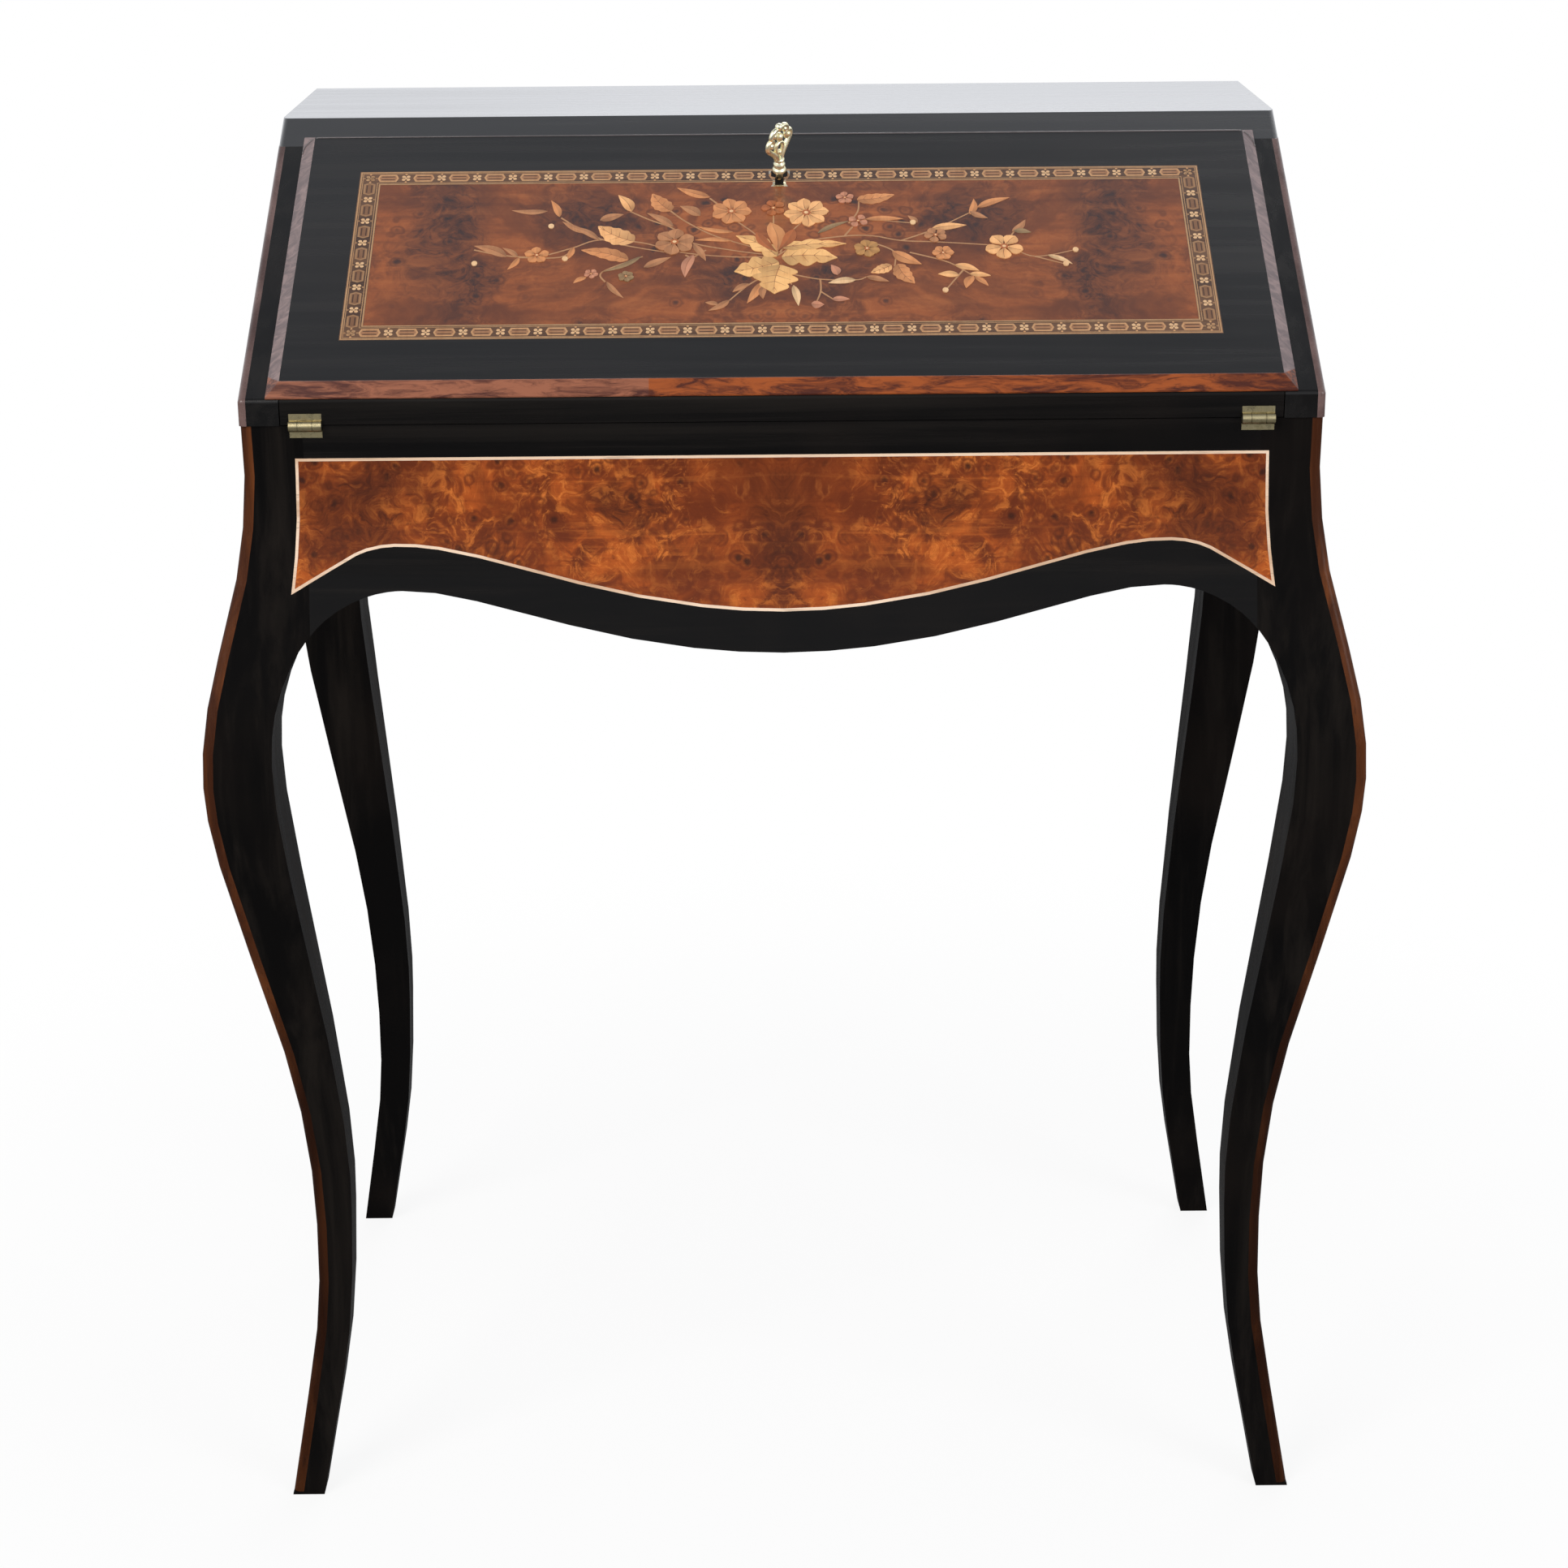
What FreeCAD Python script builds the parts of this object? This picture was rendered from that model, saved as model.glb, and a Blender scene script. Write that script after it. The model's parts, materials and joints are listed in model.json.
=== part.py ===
# Slant-front desk on four cabriole legs, built in its own frame in millimetres.
# X runs to the right of someone facing the desk, Y runs away from them and Z is up.
# The origin is on the floor under the middle of the desk.
import FreeCAD, Part
import math
import os
import Sketcher
from FreeCAD import Placement, Rotation, Vector

# Driving sizes, in millimetres: name, value, what it is
SIZES = [
    ("case_width", 662.0, "writing case, left to right"),
    ("case_depth", 420.0, "writing case, front to back"),
    ("writing_height", 740.0, "floor to the joint between frame and case"),
    ("case_height", 154.0, "joint to the top of the desk"),
    ("nose_height", 16.0, "upright nose below the slope"),
    ("nose_round", 3.0, "radius of the nose's upper arris"),
    ("top_depth", 171.0, "flat top, front to back"),
    ("top_thickness", 15.0, "board of the flat top"),
    ("top_round", 4.0, "radius of the top's front corners"),
    ("cheek_thickness", 25.0, "sides of the writing case"),
    ("edging_width", 5.0, "rosewood edging on the cheeks"),
    ("edging_round", 3.0, "radius of the edging's arris"),
    ("back_thickness", 10.0, "back board of the case"),
    ("rail_depth", 33.0, "rail under the front of the top, at its underside"),
    ("rail_drop", 18.0, "height of that rail's face, across the slope"),
    ("frame_inset", 0.5, "legs set in from the case at the sides"),
    ("frame_front_inset", 1.0, "legs set in from the case at front and back"),
    ("post_width", 38.0, "square head of each leg"),
    ("knee_swell", 32.3, "how far the knee stands out from the leg's head"),
    ("knee_thickness", 45.0, "leg at the knee"),
    ("strip_width", 7.0, "rosewood strip let into the leg's corner"),
    ("strip_round", 4.5, "radius of that strip's arris"),
    ("strip_lift", 2.0, "strip's lower end above the floor"),
    ("apron_thickness", 20.0, "aprons at their top edge"),
    ("apron_crest_drop", 102.3, "writing height down to the crest of the apron's lower edge"),
    ("apron_crest_inset", 95.5, "from the leg's outer face in to that crest"),
    ("front_apron_dip", 38.7, "drop from crest to middle, front and back"),
    ("side_apron_dip", 17.0, "drop from crest to middle, sides"),
    ("panel_drop", 20.5, "writing height down to the burl panels' stringing"),
    ("panel_inset", 32.7, "from the leg's outer face in to the stringing"),
    ("panel_flare", 5.8, "how far the stringing spreads on its way down"),
    ("panel_height", 83.5, "stringing's upper edge to its lower corner"),
    ("panel_crest_reach", 70.5, "lower corner in to the crest"),
    ("panel_crest_rise", 28.6, "lower corner up to the crest"),
    ("front_panel_dip", 41.0, "crest down to the middle, front"),
    ("side_panel_dip", 19.0, "crest down to the middle, sides"),
    ("stringing_width", 1.8, "boxwood line round the burl panels"),
    ("inlay_depth", 1.5, "thickness of sawn veneer and lines"),
    ("bed_thickness", 12.0, "writing bed between the cheeks"),
    ("bed_gap", 0.3, "play round the writing bed"),
    ("cleat_size", 12.0, "cleats that carry the writing bed"),
    ("block_reach", 38.0, "corner blocks, along each apron"),
    ("block_height", 34.0, "corner blocks under the bed"),
    ("fall_gap", 0.6, "play at the ends and top of the fall"),
    ("hinge_proud", 1.0, "hinge axis in front of the nose"),
    ("panel_thickness", 7.5, "raised panel on the fall"),
    ("bevel_width", 8.5, "sloping border of the raised panel"),
    ("bevel_edge", 1.0, "upright edge left under that bevel"),
    ("bevel_start", 0.5, "raised panel above the nose, along the slope"),
    ("lip_gap", 0.3, "raised panel's overhang above the cheeks"),
    ("marquetry_side_margin", 33.0, "ebonised field beside the marquetry"),
    ("marquetry_low_margin", 37.6, "ebonised field below the marquetry"),
    ("marquetry_high_margin", 37.5, "ebonised field above the marquetry"),
    ("border_width", 14.0, "patterned border of the marquetry"),
    ("marquetry_depth", 1.2, "thickness of the marquetry"),
    ("leather_side_margin", 35.4, "fall's inner face beside the writing leather"),
    ("leather_low_margin", 28.0, "nose to the leather, along the slope"),
    ("leather_high_margin", 70.1, "leather's upper edge to the fall's"),
    ("leather_thickness", 0.8, "writing leather"),
    ("key_drop", 47.1, "fall's upper edge down to the keyhole"),
    ("escutcheon_width", 13.6, "pale metal keyhole plate, across its head"),
    ("escutcheon_foot", 8.6, "the same plate, across its waist"),
    ("escutcheon_length", 17.6, "the same plate, up the slope"),
    ("escutcheon_head", 8.0, "height of its wider head"),
    ("escutcheon_drop", 9.2, "keyhole centre to its lower edge"),
    ("escutcheon_thickness", 1.6, "the same plate"),
    ("keyhole_round", 4.2, "radius of the keyhole's round part"),
    ("keyhole_slot", 4.4, "width of the keyhole's slot"),
    ("keyhole_drop", 7.4, "keyhole centre to the end of its slot"),
    ("lock_width", 56.0, "lock case, left to right"),
    ("lock_below", 14.0, "keyhole centre to the lock's lower edge"),
    ("lock_depth", 10.0, "lock case, into the fall"),
    ("lock_wall", 1.2, "sheet of the lock case"),
    ("lock_play", 0.2, "lock case in its mortise"),
    ("bolt_width", 24.0, "lock bolt"),
    ("bolt_thickness", 5.0, "lock bolt"),
    ("bolt_length", 34.0, "lock bolt's head"),
    ("bolt_throw", 7.0, "lock bolt's travel"),
    ("bolt_play", 0.25, "lock bolt in its case"),
    ("bolt_setback", 0.4, "drawn bolt behind the lock's face"),
    ("tail_thickness", 1.6, "bolt's tail beside the key"),
    ("tail_width", 13.0, "bolt's tail"),
    ("tail_slot", 6.2, "slot in the tail, round the key's shank"),
    ("strike_width", 40.0, "striking plate on the rail"),
    ("strike_height", 13.0, "striking plate across the slope"),
    ("strike_thickness", 1.5, "striking plate"),
    ("strike_play", 0.5, "bolt in the striking plate"),
    ("key_round", 2.3, "radius of the key's shank"),
    ("key_bit_reach", 7.0, "key's bit out from its axis"),
    ("key_bit_width", 2.4, "thickness of the key's bit"),
    ("key_bit_length", 3.4, "key's bit along its shank"),
    ("collar_round", 4.4, "radius of the key's collar"),
    ("collar_height", 8.3, "key's collar along the shank"),
    ("collar_start", 6.5, "collar above the raised panel"),
    ("bow_width", 26.0, "key's bow, across"),
    ("bow_height", 28.0, "key's bow, along the shank"),
    ("bow_thickness", 3.0, "key's bow"),
    ("bow_rim", 2.6, "metal round the bow's openings"),
    ("bow_lobe_round", 5.0, "radius of the bow's side scrolls"),
    ("bow_crown_round", 3.6, "radius of the bow's crown"),
    ("hinge_width", 20.0, "hinge, along its pin"),
    ("hinge_inset", 30.8, "case side to the hinge's outer end"),
    ("hinge_round", 3.5, "radius of the hinge's knuckles"),
    ("hinge_pin_round", 1.2, "radius of the hinge pin"),
    ("hinge_pin_play", 0.05, "pin in its knuckles"),
    ("hinge_knuckle_play", 0.15, "between knuckles"),
    ("hinge_seat_play", 0.3, "knuckles in their notch"),
    ("hinge_middle", 9.0, "middle knuckle"),
    ("leaf_length", 19.5, "hinge leaf"),
    ("leaf_thickness", 1.4, "hinge leaf"),
    ("lip_height", 7.5, "hinge leaf's turned-down front lip"),
    ("stay_thickness", 2.0, "brass stay arms"),
    ("stay_width", 9.0, "brass stay arms"),
    ("stay_play", 0.2, "between the stay's plates"),
    ("stay_rivet_round", 2.2, "radius of the stay's rivets"),
    ("stay_rivet_play", 0.05, "rivets in the arms"),
    ("stay_foot_back", 85.0, "nose back to the stay's pivot on the cheek"),
    ("stay_foot_rise", 12.0, "writing bed up to that pivot"),
    ("stay_fall_reach", 110.0, "hinge axis to the stay's pivot on the fall"),
    ("stay_fall_depth", 8.0, "fall's inner face to that pivot"),
    ("stay_plate_length", 26.0, "plate on the cheek"),
    ("stay_plate_height", 14.0, "plate on the cheek"),
    ("stay_plate_thickness", 1.5, "plate on the cheek and the lug's foot"),
    ("stay_lug_length", 14.0, "lug on the fall"),
    ("shelf_height", 50.0, "bed to the gallery shelf"),
    ("shelf_thickness", 8.0, "gallery shelf"),
    ("gallery_depth", 112.0, "gallery shelf, front to back"),
    ("divider_thickness", 8.0, "gallery dividers"),
    ("divider_setback", 4.0, "dividers behind the shelf's edge"),
    ("drawer_gap", 0.6, "play round each drawer"),
    ("drawer_front_thickness", 10.0, "drawer fronts"),
    ("drawer_side", 6.0, "drawer sides and backs"),
    ("drawer_bottom", 4.0, "drawer bottoms"),
    ("drawer_bottom_lift", 2.0, "drawer bottoms above the sides' lower edge"),
    ("drawer_setback", 2.0, "drawer fronts behind the shelf's edge"),
    ("drawer_end_play", 4.0, "drawers' backs in front of the case back"),
    ("knob_round", 6.0, "radius of the drawer knobs"),
    ("knob_neck", 2.6, "radius of their necks"),
    ("knob_length", 13.0, "knobs out from the drawer fronts"),
    ("curve_slack", 0.4, "how far a straight run may leave the curve it stands for"),
    ("overrun", 4.0, "cuts run on past what they cut"),
]

# Leg outline: height as a share of the writing height, and the outer face's
# stand-out as a share of the knee's swell.
SWELL_SHARES = [
    (0.0, 0.27),
    (0.09, -0.09),
    (0.17, -0.37),
    (0.25, -0.443),
    (0.31, -0.41),
    (0.41, -0.16),
    (0.51, 0.29),
    (0.61, 0.76),
    (0.70, 1.0),
    (0.79, 0.72),
    (0.865, 0.26),
    (0.93, 0.03),
    (1.0, 0.0),
]
# Leg thickness below the knee: height share, and thickness as a share of the knee's.
THICKNESS_SHARES = [
    (0.0, 0.476),
    (0.09, 0.50),
    (0.17, 0.502),
    (0.25, 0.53),
    (0.31, 0.578),
    (0.41, 0.655),
    (0.51, 0.81),
    (0.61, 0.95),
    (0.70, 0.99),
]
# Arch from the apron's crest to the inside of the knee: shares of its span and drop.
ARCH_SHARES = [(0.975, 0.65), (0.916, 0.50), (0.76, 0.283), (0.59, 0.151), (0.33, 0.044)]
# Apron's lower edge from crest to middle: shares of the crest's distance and of the dip.
DIP_SHARES = [(0.79, 0.19), (0.46, 0.69), (0.0, 1.0)]
# Stringing from its lower corner to the crest: shares of the reach and of the rise.
CORNER_SHARES = [(0.76, 0.665), (0.58, 0.40), (0.35, 0.11)]
# Stringing from crest to middle: shares of the crest's distance and of the dip.
PANEL_DIP_SHARES = [(0.834, 0.137), (0.586, 0.512), (0.332, 0.83), (0.0, 1.0)]
# Key's bow: height of its side scrolls as a share of its height, and the key's
# turn from its slot as a share of a full turn.
BOW_LOBE_SHARE = 0.6
KEY_TURN_SHARE = -38 / 360
# Stringing's upright side: shares of its height and of its flare, halfway down.
SIDE_SHARES = (0.45, 0.14)
# Divider's front edge in the gallery: shares of its height and of its depth.
DIVIDER_SHARES = [(0.0, 0.0), (0.3, 0.10), (0.62, 0.34), (1.0, 0.42)]
# Drawer knob's neck as a share of its length.
NECK_SHARE = 0.5
# Knob's flat-backed head beyond its neck: shares of its radius and of its length.
KNOB_SHARES = [(1.0, 0.5), (1.0, 0.7), (0.72, 1.0)]
# Chords in the rounded arris of a leg's corner strip.
ARRIS_CHORDS = 3
# Most that a curve turns along one of the straight runs that stand for it.
RUN_TURN = math.radians(10)
# Stay's lower arm as a share of the line that both arms make with the fall open.
LOWER_ARM_SHARE = 0.55

doc = FreeCAD.newDocument("slant_front_desk")
sheet = doc.addObject("Spreadsheet::Sheet", "Sizes")
size = {}
for row, (name, value, note) in enumerate(SIZES, start=1):
    sheet.set("A%d" % row, name)
    sheet.set("B%d" % row, str(value))
    sheet.set("C%d" % row, note)
    sheet.setAlias("B%d" % row, name)
    size[name] = value
doc.recompute()

PIECES = {}

# Rules worked out from the sizes, each as the text of an expression on the sheet
RULES = {name: "Sizes." + name for name in size}


def spelled(text):
    """A rule's text with the names in braces written out."""
    return text.format(**RULES)


def settle(name, text):
    """Keep a rule under a name and give its value now."""
    RULES[name] = "(" + spelled(text) + ")"
    value = sheet.evalExpression(RULES[name])
    return float(getattr(value, "Value", value))


HALF_WIDTH = settle("half_width", "{case_width} / 2")
HALF_DEPTH = settle("half_depth", "{case_depth} / 2")
LEG_X = settle("leg_x", "{half_width} - {frame_inset}")
LEG_Y = settle("leg_y", "{half_depth} - {frame_front_inset}")
INNER_HALF = settle("inner_half", "{half_width} - {cheek_thickness}")
BACK_Y = settle("back_y", "{half_depth} - {back_thickness}")
BED = settle("bed", "{writing_height}")
TOP = settle("top", "{bed} + {case_height}")
TOP_UNDER = settle("top_under", "{top} - {top_thickness}")
NOSE_TOP = settle("nose_top", "{bed} + {nose_height}")
TOP_FRONT = settle("top_front", "{half_depth} - {top_depth}")
SLOPE = math.radians(settle("slope", "atan(({top} - {nose_top}) / ({top_front} + {half_depth}))"))
settle("slope_length", "({top} - {nose_top}) / sin({slope})")
settle("under_front", "({top_under} - {nose_top}) / tan({slope}) - {half_depth}")
settle("rail_face", "{slope_length} - {top_thickness} / sin({slope})")
FALL_END = settle("fall_end", "{rail_face} - {fall_gap}")
FALL_HALF = settle("fall_half", "{inner_half} - {fall_gap}")
FALL_THICKNESS = settle("fall_thickness", "{nose_height} * cos({slope}) - {hinge_proud} * sin({slope})")
PANEL_LOW = settle("panel_low", "{bevel_start} + {bevel_width}")
KEY_UP = settle("key_up", "{fall_end} - {key_drop}")
CREST = settle("crest", "{bed} - {apron_crest_drop}")
SHELF_LOW = settle("shelf_low", "{bed} + {shelf_height}")
GALLERY_FRONT = settle("gallery_front", "{back_y} - {gallery_depth}")
BAY_WIDTH = settle("bay_width", "(2 * {inner_half} - 2 * {divider_thickness}) / 3")
UP_SLOPE = Vector(0, math.cos(SLOPE), math.sin(SLOPE))
OUT_SLOPE = Vector(0, -math.sin(SLOPE), math.cos(SLOPE))
NOSE = Vector(0, -HALF_DEPTH, NOSE_TOP)
HINGE = Vector(0, -HALF_DEPTH - size["hinge_proud"], BED)
SLOPE_TURN = Rotation(Vector(1, 0, 0), math.degrees(SLOPE))
X_AXIS = Vector(1, 0, 0)
Y_AXIS = Vector(0, 1, 0)
Z_AXIS = Vector(0, 0, 1)


def on_fall(x, up, out):
    """A point given across the fall, up its slope from the nose and out of its face."""
    return NOSE + Vector(x, 0, 0) + UP_SLOPE * up + OUT_SLOPE * out


def keep(label, thing):
    """Name a sub-part; its label is its file's name."""
    thing.Label = label
    PIECES[label] = thing
    return thing


def formed(label, shape):
    """A sub-part whose shape is made here from the named sizes."""
    thing = doc.addObject("Part::Feature", label)
    thing.Shape = shape
    thing.Placement = shape.Placement
    return keep(label, thing)


def box_with(name, x_span, y_span, z_span):
    """A box whose three lengths are expressions on the sheet."""
    thing = doc.addObject("Part::Box", name)
    for side, span in (("Length", x_span), ("Width", y_span), ("Height", z_span)):
        thing.setExpression(side, spelled("(%s) - (%s)" % (span[1], span[0])))
    return thing


def board(name, x_span, y_span, z_span):
    """A plain board between two rules along each axis."""
    thing = box_with(name, x_span, y_span, z_span)
    for axis, span in (("x", x_span), ("y", y_span), ("z", z_span)):
        thing.setExpression("Placement.Base." + axis, spelled(span[0]))
    return thing


def fall_slab(name, x_span, up_span, out_span):
    """A board in the fall's own directions: across, up its slope and out of its face."""
    thing = box_with(name, x_span, up_span, out_span)
    thing.Placement = Placement(Vector(0, 0, 0), SLOPE_TURN)
    up = "(" + up_span[0] + ")"
    out = "(" + out_span[0] + ")"
    thing.setExpression("Placement.Rotation.Angle", spelled("{slope}"))
    thing.setExpression("Placement.Base.x", spelled(x_span[0]))
    back = "-{half_depth} + %s * cos({slope}) - %s * sin({slope})" % (up, out)
    high = "{nose_top} + %s * sin({slope}) + %s * cos({slope})" % (up, out)
    thing.setExpression("Placement.Base.y", spelled(back))
    thing.setExpression("Placement.Base.z", spelled(high))
    return thing


def cut_from(name, base, *tools):
    """The base less each tool in turn."""
    for step, tool in enumerate(tools, start=1):
        cut = doc.addObject("Part::Cut", name if step == len(tools) else "%s_cut_%d" % (name, step))
        cut.Base = base
        cut.Tool = tool
        base = cut
    return base


def group_of(name, members):
    """Separate solids that make one sub-part."""
    group = doc.addObject("Part::Compound", name)
    group.Links = members
    return group


def mirror_of(name, source, normal):
    """Mirror image across a plane through the middle of the desk."""
    image = doc.addObject("Part::Mirroring", name)
    image.Source = source
    image.Normal = normal
    return image


def tool_of(name, shape):
    """A shape that is only used to cut."""
    thing = doc.addObject("Part::Feature", name)
    thing.Shape = shape
    thing.Placement = shape.Placement
    return thing


def block(x0, x1, y0, y1, z0, z1):
    """A box between two corners."""
    return Part.makeBox(x1 - x0, y1 - y0, z1 - z0, Vector(x0, y0, z0))


def fall_block(x0, x1, up0, up1, out0, out1):
    """A box in the fall's own directions."""
    shape = Part.makeBox(x1 - x0, up1 - up0, out1 - out0, Vector(x0, up0, out0))
    shape.Placement = Placement(NOSE, SLOPE_TURN)
    return Part.Shape(shape)


def fall_prism(corners, out0, out1):
    """A prism on the fall: corners across and up the slope, from one height to another."""
    points = [on_fall(x, up, out0) for x, up in corners]
    face = Part.Face(Part.makePolygon(points + points[:1]))
    return face.extrude(OUT_SLOPE * (out1 - out0))


def fall_rod(up, radius, out0, out1, x=0):
    """A cylinder square to the fall."""
    return Part.makeCylinder(radius, out1 - out0, on_fall(x, up, out0), OUT_SLOPE)


def side_prism(corners, x0, x1):
    """A prism along X on corners given as front-to-back and height."""
    points = [Vector(x0, y, z) for y, z in corners]
    face = Part.Face(Part.makePolygon(points + points[:1]))
    return face.extrude(Vector(x1 - x0, 0, 0))


def cross_rod(y, z, radius, x0, x1):
    """A cylinder along X."""
    return Part.makeCylinder(radius, x1 - x0, Vector(x0, y, z), X_AXIS)


def origin_plane(body, role):
    for feature in body.Origin.OriginFeatures:
        if feature.Role == role:
            return feature
    raise RuntimeError("no plane " + role)


def corner_sketch(body, name, role, corners):
    """A closed sketch of straight runs, each corner tied to the sheet by two expressions."""
    sketch = body.newObject("Sketcher::SketchObject", name)
    sketch.AttachmentSupport = [(origin_plane(body, role), "")]
    sketch.MapMode = "FlatFace"
    count = len(corners)
    rough = []
    for index in range(count):
        turn = -2 * math.pi * index / count
        rough.append(Vector(HALF_DEPTH * math.cos(turn), HALF_DEPTH * math.sin(turn), 0))
    for index in range(count):
        sketch.addGeometry(Part.LineSegment(rough[index], rough[(index + 1) % count]))
    for index in range(count):
        joint = Sketcher.Constraint("Coincident", index, 2, (index + 1) % count, 1)
        sketch.addConstraint(joint)
    for index, (across, up) in enumerate(corners):
        wanted = (("DistanceX", rough[index].x, across), ("DistanceY", rough[index].y, up))
        for kind, rough_value, rule in wanted:
            place = sketch.addConstraint(Sketcher.Constraint(kind, -1, 1, index, 1, rough_value))
            sketch.setExpression("Constraints[%d]" % place, spelled(rule))
    return sketch


def padded(name, role, corners, length, start=None):
    """A body padded from a sketch; start moves the body along X."""
    body = doc.addObject("PartDesign::Body", name)
    sketch = corner_sketch(body, name + "_outline", role, corners)
    pad = body.newObject("PartDesign::Pad", name + "_pad")
    pad.Profile = sketch
    pad.setExpression("Length", spelled(length))
    if start is not None:
        body.setExpression("Placement.Base.x", spelled(start))
    return body


def edges_where(shape, test):
    """Names of a shape's edges whose middle point passes a test."""
    names = []
    for index, edge in enumerate(shape.Edges, start=1):
        middle = edge.valueAt((edge.FirstParameter + edge.LastParameter) / 2)
        if test(edge, middle):
            names.append("Edge%d" % index)
    return names


def round_edges(body, test, radius):
    """A fillet on the body's edges that pass the test."""
    doc.recompute()
    base = body.Tip
    fillet = body.newObject("PartDesign::Fillet", body.Name + "_round")
    fillet.Base = (base, edges_where(base.Shape, test))
    fillet.setExpression("Radius", spelled(radius))
    return fillet


def mirrored(shape, normal):
    """The shape's mirror image across a plane through the middle of the desk."""
    return shape.mirror(Vector(0, 0, 0), normal)


# Outlines of the legs and aprons, as straight runs along smooth curves


def smooth_curve(points, level_ends=False):
    """The curve through a few points, which may start and end level."""
    curve = Part.BSplineCurve()
    if level_ends:
        curve.interpolate(points, InitialTangent=-X_AXIS, FinalTangent=-X_AXIS)
    else:
        curve.interpolate(points)
    return curve


def runs_along(curve, last=None):
    """Corners of straight runs that stay close to a curve, as far as a parameter or its end."""
    end = curve.LastParameter if last is None else last
    return curve.discretize(Angular=RUN_TURN, Curvature=size["curve_slack"], First=curve.FirstParameter, Last=end)


def even_runs(curve):
    """The same for a curve whose two halves mirror each other."""
    half = runs_along(curve, (curve.FirstParameter + curve.LastParameter) / 2)
    return half + facing(half[:-1])


def outlined(*stretches):
    """Closed face round stretches of corners, each starting where the last one ends."""
    corners = []
    for stretch in stretches:
        for corner in stretch:
            if not corners or not corner.isEqual(corners[-1], size["curve_slack"] / REACH):
                corners.append(corner)
    return Part.Face(Part.makePolygon(corners + corners[:1]))


def facing(points):
    """The same corners on the other side of the middle, in the opposite order."""
    return [Vector(-point.x, point.y, point.z) for point in reversed(points)]


# Half of the room that the whole desk takes, with some to spare
REACH = size["case_width"]
# Leg's outer outline, foot to head: stand-out from the head's face, and height
LEG_PLACES = [Vector(share * size["knee_swell"], 0, height * BED) for height, share in SWELL_SHARES]
LEG_LINE = runs_along(smooth_curve(LEG_PLACES))


def silhouette(top_place, inward=0):
    """Closed face between the two outer outlines of a pair of legs, drawn in place and height."""
    right = [point + Vector(top_place - inward, 0, 0) for point in LEG_LINE]
    return outlined(right, facing(right))


def void_face(top_place, dip):
    """The open space under an apron and between its two legs, down to the floor."""
    crest = top_place - size["apron_crest_inset"]
    crest_height = CREST
    inner = []
    for (height_share, swell_share), (_, thick_share) in zip(SWELL_SHARES, THICKNESS_SHARES):
        place = top_place + swell_share * size["knee_swell"] - thick_share * size["knee_thickness"]
        inner.append((place, height_share * BED))
    knee, knee_height = inner[-1]
    for span_share, drop_share in ARCH_SHARES:
        place = crest + span_share * (knee - crest)
        inner.append((place, crest_height - drop_share * (crest_height - knee_height)))
    inner.append((crest, crest_height))
    right = runs_along(smooth_curve([Vector(place, 0, height) for place, height in inner]))
    sweep = [Vector(crest, 0, crest_height)]
    for place_share, dip_share in DIP_SHARES:
        sweep.append(Vector(place_share * crest, 0, crest_height - dip_share * dip))
    sweep = even_runs(smooth_curve(sweep + facing(sweep[:-1]), level_ends=True))
    return outlined(right, sweep, facing(right))


def panel_wire(top_place, dip, inward):
    """Outline of a burl panel or its stringing: a straight top, leaning sides and a scalloped foot."""
    half = top_place - size["panel_inset"]
    corner = half + size["panel_flare"]
    top = BED - size["panel_drop"]
    low = top - size["panel_height"]
    crest = corner - size["panel_crest_reach"]
    crest_height = low + size["panel_crest_rise"]
    side_height_share, side_flare_share = SIDE_SHARES
    side = [
        Vector(half, 0, top),
        Vector(half + side_flare_share * size["panel_flare"], 0, top - side_height_share * size["panel_height"]),
        Vector(corner, 0, low),
    ]
    foot = [Vector(corner, 0, low)]
    for reach_share, rise_share in CORNER_SHARES:
        place = crest + reach_share * size["panel_crest_reach"]
        foot.append(Vector(place, 0, crest_height - rise_share * size["panel_crest_rise"]))
    foot.append(Vector(crest, 0, crest_height))
    for place_share, dip_share in PANEL_DIP_SHARES:
        foot.append(Vector(place_share * crest, 0, crest_height - dip_share * dip))
    side = runs_along(smooth_curve(side))
    scallop = even_runs(smooth_curve(foot + facing(foot[:-1])))
    wire = outlined(side, scallop, facing(side)).OuterWire
    if inward:
        wire = wire.makeOffset2D(-inward, 2, False, False, True)
    return wire


def through(face, along):
    """The face's prism through the whole desk, along Y as drawn or turned to run along X."""
    reach = size["case_width"] + size["case_depth"]
    prism = face.extrude(Vector(0, reach, 0))
    prism.translate(Vector(0, -reach / 2, 0))
    if along == "X":
        prism.rotate(Vector(0, 0, 0), Z_AXIS, 90)
    return prism


FRONT_FORM = through(silhouette(LEG_X), "Y")
SIDE_FORM = through(silhouette(LEG_Y), "X")
FRONT_VOID = through(void_face(LEG_X, size["front_apron_dip"]), "Y")
SIDE_VOID = through(void_face(LEG_Y, size["side_apron_dip"]), "X")


def inlays(along, top_place, dip):
    """Stringing and burl panel let into the swelled face of an apron, on the +place side."""
    form = SIDE_FORM if along == "Y" else FRONT_FORM
    core = through(silhouette(LEG_Y if along == "Y" else LEG_X, size["inlay_depth"]), "X" if along == "Y" else "Y")
    skin = form.cut(core)
    outer = Part.Face(panel_wire(top_place, dip, 0))
    inner = Part.Face(panel_wire(top_place, dip, size["stringing_width"]))
    shapes = []
    for face in (outer, inner):
        prism = face.extrude(Vector(0, -REACH, 0))
        if along == "X":
            prism.rotate(Vector(0, 0, 0), Z_AXIS, 90)
        shapes.append(skin.common(prism))
    whole, panel = shapes
    return whole, whole.cut(panel), panel


FRONT_INLAY, FRONT_STRING, FRONT_BURL = inlays("Y", LEG_X, size["front_panel_dip"])
RIGHT_INLAY, RIGHT_STRING, RIGHT_BURL = inlays("X", LEG_Y, size["side_panel_dip"])


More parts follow.
